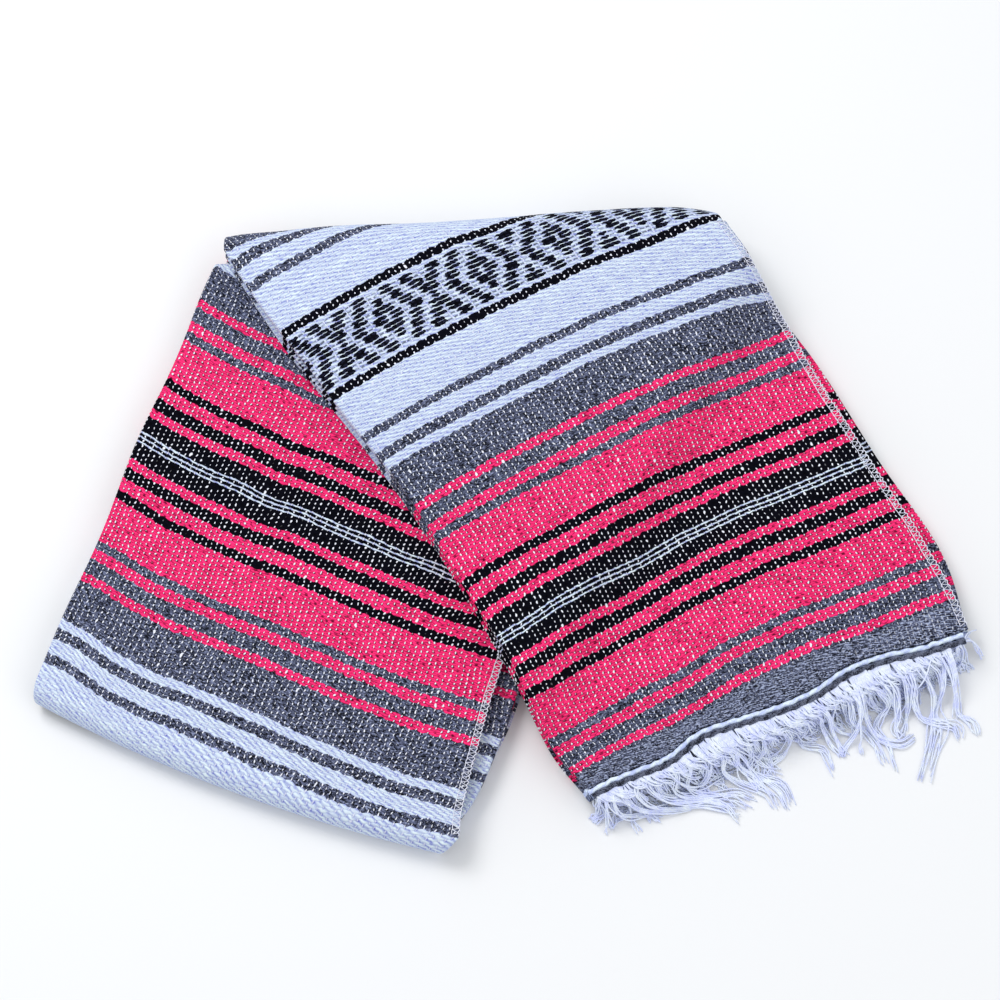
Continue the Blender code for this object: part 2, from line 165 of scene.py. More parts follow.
# The meshes' rows: along a stretch, then round its fold, and along the lower one's underside.
TOP_ROWS, EDGE_ROWS = 200, 90
UPPER_TURNS, LOWER_TURNS, EDGE_TURNS = 28, 24, 14
SOLE_ROWS, UPPER_SOLE_ROWS, SOLE_COLUMNS = 60, 70, 60

# How far the upper hem waves out past its straight line, millimetres.
Wave = namedtuple("Wave", "across out")
HEM_WAVES = (
    Wave(0.047, 2), Wave(0.1, 4), Wave(0.2, 7), Wave(0.3, 0.5), Wave(0.4, 3.5), Wave(0.5, 7),
    Wave(0.6, 6.5), Wave(0.7, 0.5), Wave(0.8, 0.5), Wave(0.9, 4), Wave(0.953, 4))

# How far the stripes wander from straight weft lines, millimetres, at ten places along the weft.
Drift = namedtuple("Drift", "line a b c d e f g h i j")
DRIFT_PLACES = (20, 50, 80, 110, 140, 170, 200, 230, 260, 290)
UPPER_DRIFTS = (
    Drift(-119.7, -0.2, -0.7, -2.3, -0.7, 3.3, 3.5, 4.4, 2.9, 2.6, 4.3),
    Drift(-90.9, -2.2, -1.7, -1.9, -2.2, 2.4, 2.3, 3.2, 1.0, 0.6, 2.3),
    Drift(-47.7, -4.9, -1.5, -0.2, -0.5, 2.2, 2.2, 2.2, -0.6, -0.7, 0.1),
    Drift(-20.7, -4.2, -2.4, 0.2, 2.2, 4.0, 3.8, 3.5, 0.7, -0.1, -0.5),
    Drift(20.7, -0.2, -0.4, -2.1, -1.0, 2.6, 4.8, 4.5, 2.8, 0.8, 0.7),
    Drift(47.7, 0.2, 0.0, -1.4, -2.3, -1.4, 1.8, 4.3, 2.8, 1.3, 1.4),
    Drift(90.9, 1.0, 0.0, -1.6, -2.9, -3.4, -4.1, -4.0, -1.2, -0.4, -0.9),
    Drift(119.7, 1.2, 0.6, -0.9, -2.6, -3.0, -4.2, -6.0, -7.5, -5.0, -2.3),
    Drift(159.3, 2.9, 2.4, 1.9, 0.9, 0.9, 1.7, 0.5, -2.0, -4.2, -3.5),
    Drift(188.1, 1.3, 2.3, 1.5, 0.9, 2.1, 1.9, 2.1, 1.0, -0.2, -2.2),
    Drift(233.1, -0.5, 0.2, 0.1, -0.5, 0.2, -0.4, 0.2, -1.4, -2.9, -2.7),
    Drift(264.6, 2.0, 2.5, 2.5, 2.0, 1.5, 0.5, -1.0, -1.5, -1.5, -1.5),
    Drift(288.0, 2.5, 2.5, 2.5, 2.0, 1.5, -3.0, -4.5, -5.0, -5.0, -5.0),
    Drift(297.9, 2.5, 2.5, 2.5, 2.0, 1.0, -5.0, -6.5, -7.0, -7.0, -7.0),
)
LOWER_DRIFTS = (
    Drift(-230.4, 3.0, 0.0, -4.0, -8.0, -14.0, -20.0, -26.0, -30.0, -32.0, -32.0),
    Drift(-188.1, 3.3, -0.6, -1.2, 1.0, 1.3, -0.9, -2.0, -4.7, -7.4, -8.0),
    Drift(-159.3, -0.4, -3.7, -4.1, -1.3, -0.3, -0.8, -2.6, -4.3, -6.4, -7.0),
    Drift(-119.7, -0.8, -2.8, -2.1, 0.0, 1.5, 1.3, 0.3, -0.3, -2.3, -2.3),
    Drift(-90.9, -3.3, -4.3, -3.1, -1.1, 1.3, 0.9, 0.5, -0.4, -2.0, -2.3),
    Drift(-47.7, -4.4, -6.0, -4.7, -2.8, -0.1, 0.2, -0.6, -1.2, -2.5, -3.0),
    Drift(-20.7, -6.0, -6.0, -4.4, -3.4, 0.3, -0.2, 0.0, -0.3, -2.3, -0.2),
    Drift(20.7, -4.2, -4.3, -2.3, -1.9, 1.5, 1.0, 0.7, -0.5, 0.3, 1.2),
    Drift(47.7, -3.7, -3.7, -1.6, -1.5, 1.1, 1.9, 1.0, 1.0, 1.0, 1.0),
    Drift(119.7, -4.5, -4.6, -2.5, -2.5, 0.0, 0.0, 0.0, 0.0, 0.0, 0.0),
)

# ---- the weave ----
HEM_BAND = -0.1265  # past this place the upper hem's close-beaten end band starts
WARP = 4.2 * MM  # from one warp yarn to the next
PICK = 1.8 * MM  # from one weft pick to the next
BAND_PICK = 147  # picks from the white line to the middle of the lozenge band
LOZENGE_START = 68 * MM  # place of a lozenge's middle along the weft
LOZENGES = (-18, 0, 18, 32, 46)  # the lozenges' middles, in warps from that one
FLOAT_HALF = 1.33  # half a black float's length, in warps
FLOAT_WIDTH = 0.84  # half its thickness, in picks
WARP_WANDER = (0.7, 0.45)  # how far warps stray over a few centimetres and a few millimetres
PICK_WANDER = (1.2, 0.8)  # the same for picks, each in its own spacing
EDGE_SWING = 0.24  # how far a pick's edge swings between the warps, in picks
THIN_LINE = 0.36  # past this offset the white centre lines' picks show black
REPEAT = 2 * BAND_PICK * PICK  # the stripes' whole repeat along the cloth

# ---- yarns of the fringe ----
# The fringe's bundles: how many yarns, and the way they take, as pairs of millimetres along the
# hem from its left end and out past its straight line.
Bundle = namedtuple("Bundle", "yarns path")
BUNDLES = (
    Bundle(2, ((5, 2), (5, 8), (3, 16), (0, 24))),
    Bundle(3, ((9, 3), (6, 10), (5, 19), (7, 22))),
    Bundle(6, ((13, 2), (11, 11), (15, 18), (27, 22), (43, 26))),
    Bundle(7, ((21, 2), (21, 10), (28, 19), (47, 26), (64, 30))),
    Bundle(6, ((33, 2), (29, 10), (36, 20), (53, 26), (74, 34), (86, 43))),
    Bundle(7, ((42, 2), (40, 10), (50, 21), (72, 29), (93, 44))),
    Bundle(6, ((52, 1), (45, 7), (49, 16), (66, 24), (86, 37), (91, 53))),
    Bundle(5, ((58, 1), (61, 10), (58, 18), (73, 26), (93, 36), (101, 46))),
    Bundle(6, ((68, 0), (73, 9), (67, 17), (78, 27), (98, 33), (107, 42))),
    Bundle(6, ((80, 0), (86, 8), (84, 16), (76, 20), (68, 20))),
    Bundle(6, ((89, 0), (98, 9), (96, 18), (106, 28), (119, 41), (120, 55))),
    Bundle(6, ((98, -2), (109, 10), (108, 19), (119, 32), (128, 46), (127, 59))),
    Bundle(5, ((106, -1), (117, 7), (119, 16), (112, 20), (119, 30), (132, 41), (133, 59))),
    Bundle(6, ((116, -1), (131, 7), (128, 15), (118, 18), (108, 20))),
    Bundle(7, ((128, 0), (144, 8), (151, 14), (143, 21), (130, 24), (124, 31))),
    Bundle(4, ((142, 0), (151, 3), (162, 5), (158, 10), (148, 8))),
    Bundle(5, ((157, -1), (167, 5), (165, 12), (158, 15), (159, 22), (170, 29), (171, 39), (170, 49))),
    Bundle(7, ((165, 0), (176, 7), (176, 15), (178, 28), (182, 39))),
    Bundle(6, ((174, 0), (182, 12), (182, 21), (183, 33), (184, 40))),
    Bundle(4, ((184, 1), (189, 7), (185, 16), (189, 24), (195, 29))),
    Bundle(6, ((193, 1), (201, 10), (199, 22), (205, 31), (208, 44), (207, 55))),
    Bundle(5, ((201, 2), (207, 16), (199, 27), (187, 34), (182, 39))),
    Bundle(3, ((206, 2), (206, 13), (200, 33), (196, 39), (195, 44))),
    Bundle(8, ((210, 2), (209, 13), (208, 26), (212, 39), (224, 48), (235, 46))),
    Bundle(5, ((217, 2), (223, 11), (228, 20), (219, 24), (213, 31), (216, 45), (213, 59))),
    Bundle(5, ((226, 3), (231, 14), (232, 23), (233, 34))),
    Bundle(6, ((231, 3), (236, 14), (232, 28), (226, 37), (227, 45))),
    Bundle(7, ((241, 3), (245, 13), (242, 24), (235, 33), (229, 42))),
    Bundle(7, ((249, 3), (249, 15), (246, 26), (248, 38), (258, 46), (267, 53), (266, 62))),
    Bundle(4, ((257, 3), (260, 16), (261, 29), (254, 40), (245, 55), (226, 78))),
    Bundle(4, ((263, 4), (271, 14), (269, 26), (260, 37), (258, 51), (248, 63), (236, 76))),
    Bundle(6, ((272, 4), (277, 10), (270, 26), (258, 38), (252, 54))),
    Bundle(6, ((278, 3), (280, 15), (277, 31), (273, 45), (279, 55), (278, 64))),
    Bundle(6, ((283, 3), (282, 16), (278, 30), (272, 46))),
    Bundle(2, ((290, 2), (294, 7), (292, 12), (288, 13))),
    Bundle(4, ((295, 0), (303, 3), (308, 9), (311, 14))),
    Bundle(2, ((297, 0), (306, -3), (314, -6))),
    Bundle(1, ((271, 6), (256, 18), (245, 19), (233, 17), (223, 19))),
    Bundle(2, ((209, 4), (222, 3), (233, 10), (234, 15))),
)
HEM_LENGTH = 297 * MM
BUNDLE_ROOM = 0.9  # how widely a bundle's yarns lie, millimetres for each yarn
# The way short ends lie along the hem: their lean to the right in degrees, and their length.
Lay = namedtuple("Lay", "across lean length")
FRINGE_LAY = (
    Lay(0.0, 0, 18), Lay(0.05, 40, 26), Lay(0.12, 75, 40), Lay(0.25, 80, 42), Lay(0.38, 70, 36),
    Lay(0.48, 60, 26), Lay(0.6, 45, 22), Lay(0.75, 30, 22), Lay(0.9, 20, 22), Lay(1.0, 20, 14))
YARN = 0.6 * MM  # half a fringe yarn's thickness
FALL = 3.2  # how many of a bundle's places it takes to reach the floor
MATTED_FALL = 8.0  # the same for the yarns matted along the heading
YARN_SIDES = 6
# The heading's cords: their middle from the hem's line towards the cloth, half their thickness.
Cord = namedtuple("Cord", "name along radius seed")
WHITE_CORD = Cord("white_heading", 6.4 * MM, 1.9 * MM, 0)
GREY_CORD = Cord("grey_heading", 2.2 * MM, 2.3 * MM, 1)
CORD_SIDES = 10
CORD_STEPS = 230
CORD_TWIST = 46.0  # turns to the metre of the heading's two-ply cords
PLY_WAIST = 0.13  # how far the two plies' outline swings from a round one
YARN_STEPS = 20
MATTED_STEPS = 10
SEED = 11
STITCH_WIDTH = 5.2 * MM  # how far the overlock reaches in from the cloth's edge
STITCH = 4.0 * MM  # from one stitch to the next
STITCH_RIM = -0.2 * MM  # where the zigzag's outer corners lie
THREAD_SIDES = 5
UPPER_STITCHED = (0.008, 0.385)  # the overlocked places along the two stretches' right edges
LOWER_STITCHED = (0.014, 0.19)
FUZZ = 1.0  # how strongly the yarns' loose fibres catch light at their rims, and its colour
RIM_LIGHT = (0.5, 0.62, 1.0, 1.0)


def smoothstep(x):
    x = min(max(x, 0.0), 1.0)
    return x * x * (3 - 2 * x)


def spline(rows, at):
    """The values of a table of rows at one place, by a smooth curve through all of them."""
    keys = [row[0] for row in rows]
    last = len(rows) - 2
    i = max(k for k in range(last + 1) if k == 0 or keys[k] <= at)
    span = keys[i + 1] - keys[i]
    t = (at - keys[i]) / span
    values = []
    for column in range(1, len(rows[0])):
        def slope(k):
            a, b = max(k - 1, 0), min(k + 1, len(rows) - 1)
            return (rows[b][column] - rows[a][column]) / (keys[b] - keys[a])
        p, q = rows[i][column], rows[i + 1][column]
        if not 0 <= t <= 1:
            values.append(p + (q - p) * t)
            continue
        h = t * t * (3 - 2 * t)
        curve = p + (q - p) * h
        curve += span * (slope(i) * t * (1 - t) ** 2 - slope(i + 1) * t * t * (1 - t))
        values.append(curve)
    return values


def between(places, values, at):
    """A value read straight between the places of a short table, level beyond its ends."""
    if at <= places[0]:
        return values[0]
    for a, b, p, q in zip(places, places[1:], values, values[1:]):
        if at <= b:
            return p + (q - p) * (at - a) / (b - a)
    return values[-1]


def left_of(way):
    """In plan, the way square to another one on its left."""
    return Vector((-way.y, way.x))


class Stretch:
    """One visible stretch of the strip: its weft lines, its edges and its way into the fold."""

    def __init__(self, wefts, bow, swells, extra_reach, top_reach):
        self.wefts = wefts
        self.bow = bow
        self.swells = swells
        self.extra_reach = extra_reach
        self.top_reach = top_reach

    @lru_cache(maxsize=None)
    def ends(self, along):
        x0, y0, x1, y1 = spline(self.wefts, along / MM)
        return Vector((x0, y0)) * MM + DATUM, Vector((x1, y1)) * MM + DATUM

    def plan(self, across, along):
        left, right = self.ends(along)
        lengthwise = left_of(right - left).normalized()
        return left.lerp(right, across) + lengthwise * self.bow * 4 * across * (1 - across)

    @lru_cache(maxsize=None)
    def meets_fold(self, across, short_of=0.0):
        """How far along this warp line the strip reaches the mitre fold's axis."""
        low, high = FOLD_SEARCH
        for _ in range(30):
            middle = (low + high) / 2
            if past_fold(self.plan(across, middle)) < -short_of:
                low = middle
            else:
                high = middle
        return low

    def swell(self, across, along):
        height = 0.0
        for row in self.swells:
            beside = (across - row.across) / row.wide
            ahead = (along / MM - row.along) / row.long
            height += row.height * MM * math.exp(-(beside ** 2 + ahead ** 2))
        return height

    def reach(self, side, number, along):
        """How far one lip of the stack's edge stands out at a place along it."""
        lip = LIPS[side][number]
        wave = EDGE_WAVE * math.sin(along / EDGE_WAVE_LENGTH * math.tau + 1.9 * number + side)
        out = lip.reach * MM + wave
        if side > 0 and lip.first >= SLIPPED_PLY:
            out += spline(self.extra_reach, along / MM)[0] * MM
        if side > 0 and number == 0:
            out += spline(self.top_reach, along / MM)[0] * MM
        return out


def fold_direction():
    return (FOLD_RIGHT - FOLD_LEFT).normalized()


def fold_normal():
    return left_of(fold_direction())


def past_fold(point):
    return (point - FOLD_LEFT).dot(fold_normal())


def drop(point):
    """How far the upper stretch's underside is down from the lower one's top, 0 to 1."""
    away = -left_of((FOLD_RIGHT - UNDER_EDGE).normalized())
    return smoothstep(((point - UNDER_EDGE).dot(away) - DRAPE_START) / DRAPE)


UPPER = Stretch(UPPER_WEFTS, UPPER_BOW, UPPER_SWELLS, UPPER_SLIPS, TOP_SLIPS)
LOWER = Stretch(LOWER_WEFTS, -LOWER_BOW, LOWER_SWELLS, LOWER_SLIPS, LOWER_TOP_SLIPS)


def outward(stretch, side, along, near_fold):
    """The way out of the strip at an edge, turning in line with the fold as it is reached."""
    left, right = stretch.ends(along)
    weft = right - left
    lengthwise = left_of(weft).normalized()
    bowed = (weft - lengthwise * 4 * stretch.bow * side).normalized()
    return bowed.lerp(fold_direction(), near_fold ** 4).normalized() * side


def hem_wave(across):
    return spline(HEM_WAVES, min(max(across, HEM_WAVES[0].across), HEM_WAVES[-1].across))[0] * MM


def hem_start(across):
    """Where the cloth starts along a warp line, at the wavy upper hem's heading."""
    return HEADING - hem_wave(across)


# ---- rows: places along a stretch where a section of cloth is laid ----
def turned(side, number):
    """The lip that one turns into round the end fold."""
    return len(LIPS[side]) - 1 - number


class Row:
    """A place along a stretch: a share of the way, or an angle round a fold.

    Its point lies across the strip, some way out past the nearer edge and deep in the stack; its
    cloth is what the weave's places u and v are there.
    """
    stretch = UPPER

    def __init__(self, place):
        self.place = place

    def plan(self, across, along, out, near_fold):
        plan = self.stretch.plan(across, along)
        if out:
            side = 1 if across > 0.5 else -1
            plan = plan + outward(self.stretch, side, along, near_fold) * out
        return plan

    def swell(self, across, along, depth):
        return self.stretch.swell(across, along) * (1 - depth / STACK)

    def reach(self, side, number):
        return self.stretch.reach(side, number, self.along(0.5 + side / 2))


class HemRow(Row):
    """A row of the upper stretch between its heading (share 0) and the mitre fold's axis (1)."""

    def point(self, across, out, depth):
        along = self.along(across)
        plan = self.plan(across, along, out, self.place)
        rise = (STACK + SEAM) * (1 - drop(plan))
        height = rise + STACK - depth + self.swell(across, along, depth) * (1 - self.place ** 8)
        if self.place == 1:
            height = ROLL + ROLL * (1 - depth / STACK)
        return Vector((plan.x, plan.y, height))

    def along(self, across):
        start, end = hem_start(across), UPPER.meets_fold(across)
        return start + (end - start) * self.place

    def cloth(self, u, across):
        v = self.along(across) - UPPER_LINE
        return u, stripe_place(UPPER_DRIFTS, u, v) - REPEAT


class RollRow(Row):
    """A row of the upper stretch where it rolls over the mitre fold, its angle 0 on top."""

    def point(self, across, out, depth):
        side = 1 if across > 0.5 else -1
        inner = 1 - depth / STACK
        swing = math.sin(self.place)
        bulge, drift = spline(ROLL_BULGES, across)
        radius = ROLL * inner
        plan = UPPER.plan(across, self.along(across)) + fold_normal() * radius * bulge * swing
        plan = plan + fold_direction() * (side * out - drift * MM * swing * inner)
        return Vector((plan.x, plan.y, ROLL + radius * math.cos(self.place)))

    def along(self, across):
        return UPPER.meets_fold(across)

    def cloth(self, u, across):
        along = self.along(across)
        left, right = UPPER.ends(along)
        weft = (right - left).normalized()
        way = fold_normal()
        run = ROLL * self.place
        v = stripe_place(UPPER_DRIFTS, u, along - UPPER_LINE) - REPEAT
        return u + run * way.dot(weft), v + run * way.dot(left_of(weft))


class LowerRow(Row):
    """A row of the lower stretch between its end fold's axis (share 0) and the mitre (1)."""
    stretch = LOWER

    def point(self, across, out, depth):
        along = self.along(across)
        plan = self.plan(across, along, out, self.place)
        if self.place == 1:
            plan = plan - fold_normal() * (past_fold(plan) + SEAM)
        covered = smoothstep((along - COVERED_FROM) / COVERED_OVER)
        height = STACK - depth + self.swell(across, along, depth) * (1 - covered)
        return Vector((plan.x, plan.y, height))

    def along(self, across):
        return NOSE + (LOWER.meets_fold(across, SEAM) - NOSE) * self.place

    def cloth(self, u, across):
        return u, stripe_place(LOWER_DRIFTS, u, self.along(across) - LOWER_LINE)


class NoseRow(Row):
    """A row round the lower stretch's end fold: angle 0 on top, pi on the floor."""
    stretch = LOWER

    def point(self, across, out, depth):
        plan = self.plan(across, NOSE - max(NOSE - depth, 0.0) * math.sin(self.place), out, 0)
        swell = self.swell(across, NOSE, depth) * max(math.cos(self.place), 0.0)
        height = NOSE + (NOSE - depth + swell) * math.cos(self.place)
        return Vector((plan.x, plan.y, height))

    def reach(self, side, number):
        along = NOSE * (1 - math.sin(self.place))
        above = LOWER.reach(side, number, along)
        below = LOWER.reach(side, turned(side, number), along)
        return above + (below - above) * self.place / math.pi

    def cloth(self, u, across):
        run = NOSE - NOSE * self.place
        return u, stripe_place(LOWER_DRIFTS, u, run - LOWER_LINE)


class SoleRow(LowerRow):
    """A row of the lower stretch's underside; depth counts up from the floor."""

    def point(self, across, out, depth):
        return super().point(across, out, STACK - depth)

    def reach(self, side, number):
        return super().reach(side, turned(side, number))

    def cloth(self, u, across):
        return u, -(self.along(across) + math.pi * NOSE - 2 * NOSE) - LOWER_LINE


def stripe_place(drifts, u, v):
    """The woven place v of a spot that lies at v: the stripes wander as the cloth was pulled."""
    lies = [row.line * MM + between(DRIFT_PLACES, row[1:], u / MM) * MM for row in drifts]
    woven = [row.line * MM for row in drifts]
    if v <= lies[0]:
        return v - lies[0] + woven[0]
    if v >= lies[-1]:
        return v - lies[-1] + woven[-1]
    return between(lies, woven, v)


# ---- sections: the way one ply takes through the stack ----
Spot = namedtuple("Spot", "across out depth u")


def steps(count):
    """Evenly spaced shares from 0 to 1."""
    return [k / count for k in range(count + 1)]


def fold_spots(side, reach, first, last):
    """A folded edge: in the stack, out and round the fold, and back in below."""
    across = 0.5 + side / 2
    radius = (last - first) * PLY / 2
    middle = (last + first) * PLY / 2
    rim = reach - radius
    places = []
    for share in steps(TUCK_CELLS)[:-1]:
        out = rim - TUCK * (1 - share)
        places.append((out, first * PLY, out))
    for share in steps(FOLD_STEPS):
        angle = math.pi * share
        out = rim + radius * math.sin(angle)
        places.append((out, middle - radius * math.cos(angle), rim + radius * angle))
    for share in steps(TUCK_CELLS)[1:]:
        run = rim + math.pi * radius + TUCK * share
        places.append((rim - TUCK * share, last * PLY, run))
    edge_u = STRIP_WIDTH * across
    return [Spot(across, out, depth, edge_u + side * run) for out, depth, run in places]


def selvage_spots(reach, first):
    """A cut and overlocked edge on the right, with the tuck inside the stack."""
    outs = [reach - TUCK * (1 - share) for share in steps(2 * TUCK_CELLS + 1)]
    return [Spot(1.0, out, first * PLY, STRIP_WIDTH + out) for out in outs]


def face_spots(row):
    """A whole top ply from its right selvage across to its left fold, and on into the stack."""
    columns = round(STRIP_WIDTH / CELL)
    reach = row.reach(1, 0)
    spots = []
    for inside, curl in SELVAGE_CURL:
        out = reach - inside * MM
        spots.append(Spot(1.0, out, curl * MM, STRIP_WIDTH + out))
    for k in range(columns - 2, 3, -1):
        spots.append(Spot(k / columns, 0.0, 0.0, STRIP_WIDTH * (k / columns)))
    return spots + fold_spots(-1, row.reach(-1, 0), 0, 2)[TUCK_CELLS:]


def rumple(point, depth):
    """The cloth's slight unevenness, fading out on the floor and inside the stack."""
    fade = smoothstep(point.z / RUMPLE_RISE) * (1 - smoothstep(depth / PLY))
    if not fade:
        return 0.0
    coarse = noise.noise(Vector((point.x, point.y, 0.3)) / RUMPLE_SIZE)
    fine = noise.noise(Vector((point.x, point.y, 4.7)) / (RUMPLE_SIZE * 0.4))
    return RUMPLE * fade * (coarse + 0.4 * fine)


def lay_cloth(name, rows, section, shift=0.0, flip=False, rumpled=True):
    """A ply of cloth laid through the rows, with its weave's places kept in a UV map."""
    mesh = bmesh.new()
    weave = mesh.loops.layers.uv.new("weave")
    places = {}
    grid = []
    for row in rows:
        line = []
        for spot in section(row):
            point = row.point(spot.across, spot.out, spot.depth)
            if rumpled:
                point.z += rumple(point, spot.depth)
            vert = mesh.verts.new(point)
            u, v = row.cloth(spot.u, spot.across)
            places[vert] = (u, v + shift)
            line.append(vert)
        grid.append(line)
    for here, there in zip(grid, grid[1:]):
        for a, b, c, d in zip(here, here[1:], there[1:], there):
            face = mesh.faces.new((a, d, c, b) if flip else (a, b, c, d))
            face.smooth = True
            for loop in face.loops:
                loop[weave].uv = places[loop.vert]
    return add_piece(name, mesh)


def add_piece(name, mesh):
    data = bpy.data.meshes.new(name)
    mesh.to_mesh(data)
    mesh.free()
    piece = bpy.data.objects.new(name, data)
    bpy.context.scene.collection.objects.link(piece)
    return piece


def choose(*pieces):
    bpy.ops.object.select_all(action="DESELECT")
    for piece in pieces:
        piece.select_set(True)
    bpy.context.view_layer.objects.active = pieces[0]


def thicken(piece):
    choose(piece)
    wall = piece.modifiers.new("cloth", "SOLIDIFY")
    wall.thickness = CLOTH
    wall.offset = -1
    bpy.ops.object.modifier_apply(modifier=wall.name)
    return piece


def join(name, pieces):
    choose(*pieces)
    bpy.ops.object.join()
    pieces[0].name = name
    pieces[0].data.name = name
    return pieces[0]


# ---- node trees ----
def operation(kind):
    """The method of a Value that stands for one of Python's operators."""
    return lambda self, *others: self.math(kind, *others)


class Value:
    """A socket that takes part in arithmetic, each operation adding its Math node."""

    def __init__(self, socket):
        self.socket = socket
        self.tree = socket.id_data

    def math(self, kind, *others):
        return add_node(self.tree, "ShaderNodeMath", {"operation": kind}, (self, *others))

    def __rsub__(self, other):
        return add_node(self.tree, "ShaderNodeMath", {"operation": "SUBTRACT"}, (other, self))

    __add__ = __radd__ = operation("ADD")
    __sub__ = operation("SUBTRACT")
    __mul__ = __rmul__ = operation("MULTIPLY")
    __truediv__ = operation("DIVIDE")
    __mod__ = operation("FLOORED_MODULO")
    __gt__ = operation("GREATER_THAN")
    __lt__ = operation("LESS_THAN")
    __abs__ = operation("ABSOLUTE")


def add_node(tree, kind, settings=None, inputs=(), output=0):
    """Any node: its settings first, then its sockets' values or links; returns one output."""
    node = tree.nodes.new(kind)
    for key, value in (settings or {}).items():
        if key == "stops":
            set_stops(node.color_ramp, value)
        else:
            setattr(node, key, value)
    pairs = inputs.items() if isinstance(inputs, dict) else enumerate(inputs)
    for key, value in pairs:
        if isinstance(value, Value):
            tree.links.new(value.socket, node.inputs[key])
        else:
            node.inputs[key].default_value = value
    return Value(node.outputs[output])


def set_stops(ramp, stops):
    """Fills a ramp with (place, colour) steps, in order."""
    ramp.interpolation = "CONSTANT"
    ramp.elements.remove(ramp.elements[-1])
    ramp.elements[0].position, ramp.elements[0].color = stops[0]
    for place, colour in stops[1:]:
        ramp.elements.new(place).color = colour


def paint(red, green, lavender_shade_blue, alpha=1.0):
    """A colour given in everyday 0 to 255 steps, as the shader needs it."""
    def linear(step):
        c = step / 255
        return c / 12.92 if c <= 0.04045 else ((c + 0.055) / 1.055) ** 2.4
    return (linear(red), linear(green), linear(lavender_shade_blue), alpha)


class Finish:
    """A new material with its shader, ready for nodes."""

    def __init__(self, name):
        self.material = bpy.data.materials.new(name)
        self.material.use_nodes = True
        self.tree = self.material.node_tree
        self.shader = self.tree.nodes["Principled BSDF"]

    def node(self, kind, settings=None, inputs=(), output=0):
        return add_node(self.tree, kind, settings, inputs, output)

    def mix(self, share, below, above):
        settings = {"data_type": "RGBA", "clamp_factor": True}
        return self.node("ShaderNodeMix", settings, {0: share, 6: below, 7: above}, output=2)

    def bands(self, value, stops, output=0):
        return self.node("ShaderNodeValToRGB", {"stops": stops}, (value,), output)

    def grow(self, value, low, high):
        """0 below low and 1 above high, smoothly."""
        settings = {"interpolation_type": "SMOOTHSTEP", "clamp": True}
        return self.node("ShaderNodeMapRange", settings, {0: value, 1: low, 2: high, 3: 0.0, 4: 1.0})

    def split(self, vector, axis):
        return self.node("ShaderNodeSeparateXYZ", None, (vector,), output=axis)

    def combine(self, x, y, z=0.0):
        return self.node("ShaderNodeCombineXYZ", None, (x, y, z))

    def noise(self, vector, scale, detail=2.0, roughness=0.5, output=0, dimensions="3D"):
        return self.node(
            "ShaderNodeTexNoise", {"noise_dimensions": dimensions},
            {"Vector": vector, "Scale": scale, "Detail": detail, "Roughness": roughness}, output)

    def hash(self, vector):
        return self.node("ShaderNodeTexWhiteNoise", {"noise_dimensions": "3D"}, {0: vector})

    def relief(self, height, strength, distance):
        settings = {"Strength": strength, "Distance": distance, "Height": height}
        self.link(self.node("ShaderNodeBump", None, settings), "Normal")

    def fix(self, values):
        """Sets constants on the shader's own sockets."""
        for name, value in values.items():
            self.shader.inputs[name].default_value = value

    def link(self, value, name):
        self.tree.links.new(value.socket, self.shader.inputs[name])


# ---- the woven stripes ----
PINK = paint(226, 44, 104, 0.0)
BLACK = paint(5, 5, 14, 0.0)
WHITE = paint(192, 204, 228, 0.0)
GREY = paint(65, 69, 88, 1.0)  # alpha 1 marks the heathered yarn
UNDER_WHITE = paint(26, 28, 46, 0.0)
PALE_FIBRE = paint(176, 186, 214)
WARP_DOT = paint(244, 246, 255)

# The stripes out from the white line: the pick each one starts with, and its yarn.
Stripe = namedtuple("Stripe", "first yarn")
STRIPES = (
    Stripe(0, WHITE), Stripe(1, BLACK), Stripe(2, WHITE), Stripe(3, BLACK), Stripe(10, PINK),
    Stripe(14, BLACK), Stripe(19, PINK), Stripe(25, BLACK), Stripe(29, PINK), Stripe(49, GREY),
    Stripe(53, PINK), Stripe(58, GREY), Stripe(65, PINK), Stripe(69, GREY), Stripe(87, WHITE),
    Stripe(91, GREY), Stripe(96, WHITE), Stripe(103, GREY), Stripe(107, WHITE),
    Stripe(128, BLACK), Stripe(132, WHITE),
)


class WovenCloth(Finish):
    """The stripes' material, with where a spot lies among the warps (x) and the picks (t)."""

    def __init__(self):
        super().__init__("woven_stripes")
        weave = self.node("ShaderNodeUVMap", {"uv_map": "weave"})
        self.u = self.split(weave, 0)
        self.v = self.split(weave, 1)
        slow = self.noise(weave, 36.0, 1.0, output=1, dimensions="2D")
        quick = self.noise(weave, 260.0, 1.0, output=1, dimensions="2D")
        self.x = self.wander(self.u / WARP, slow, quick, 0, WARP_WANDER)
        self.t = self.wander(self.v / PICK, slow, quick, 1, PICK_WANDER)

        # a pick's edges swing between the warps, as each float is lens shaped
        under = self.t.math("FLOOR")
        swing = (self.x * math.pi).math("COSINE") * (1 - 2 * (under % 2.0))
        self.pick = under + ((self.t - under) > (0.5 - EDGE_SWING * swing))
        turn = 1 - 2 * (self.pick % 2.0)
        self.lift = 0.5 - 0.5 * (self.x * math.pi).math("COSINE") * turn
        self.off_pick = self.t - self.pick
        self.warp = self.x.math("ROUND")
        self.woven = self.grow(self.v, HEM_BAND - REPEAT, HEM_BAND - REPEAT + 0.002)

    def wander(self, place, slow, quick, axis, reach):
        """A place shifted a little this way and that, as no yarn lies quite straight."""
        far, near = reach
        place = place + (self.split(slow, axis) - 0.5) * far
        return place + (self.split(quick, axis) - 0.5) * near

    def grain(self, x, y, seed, detail=1.0, roughness=0.5):
        """Noise over two coordinates that carry their own scale, 0.5 on average."""
        return self.noise(self.combine(x, y, float(seed)), 1.0, detail, roughness)


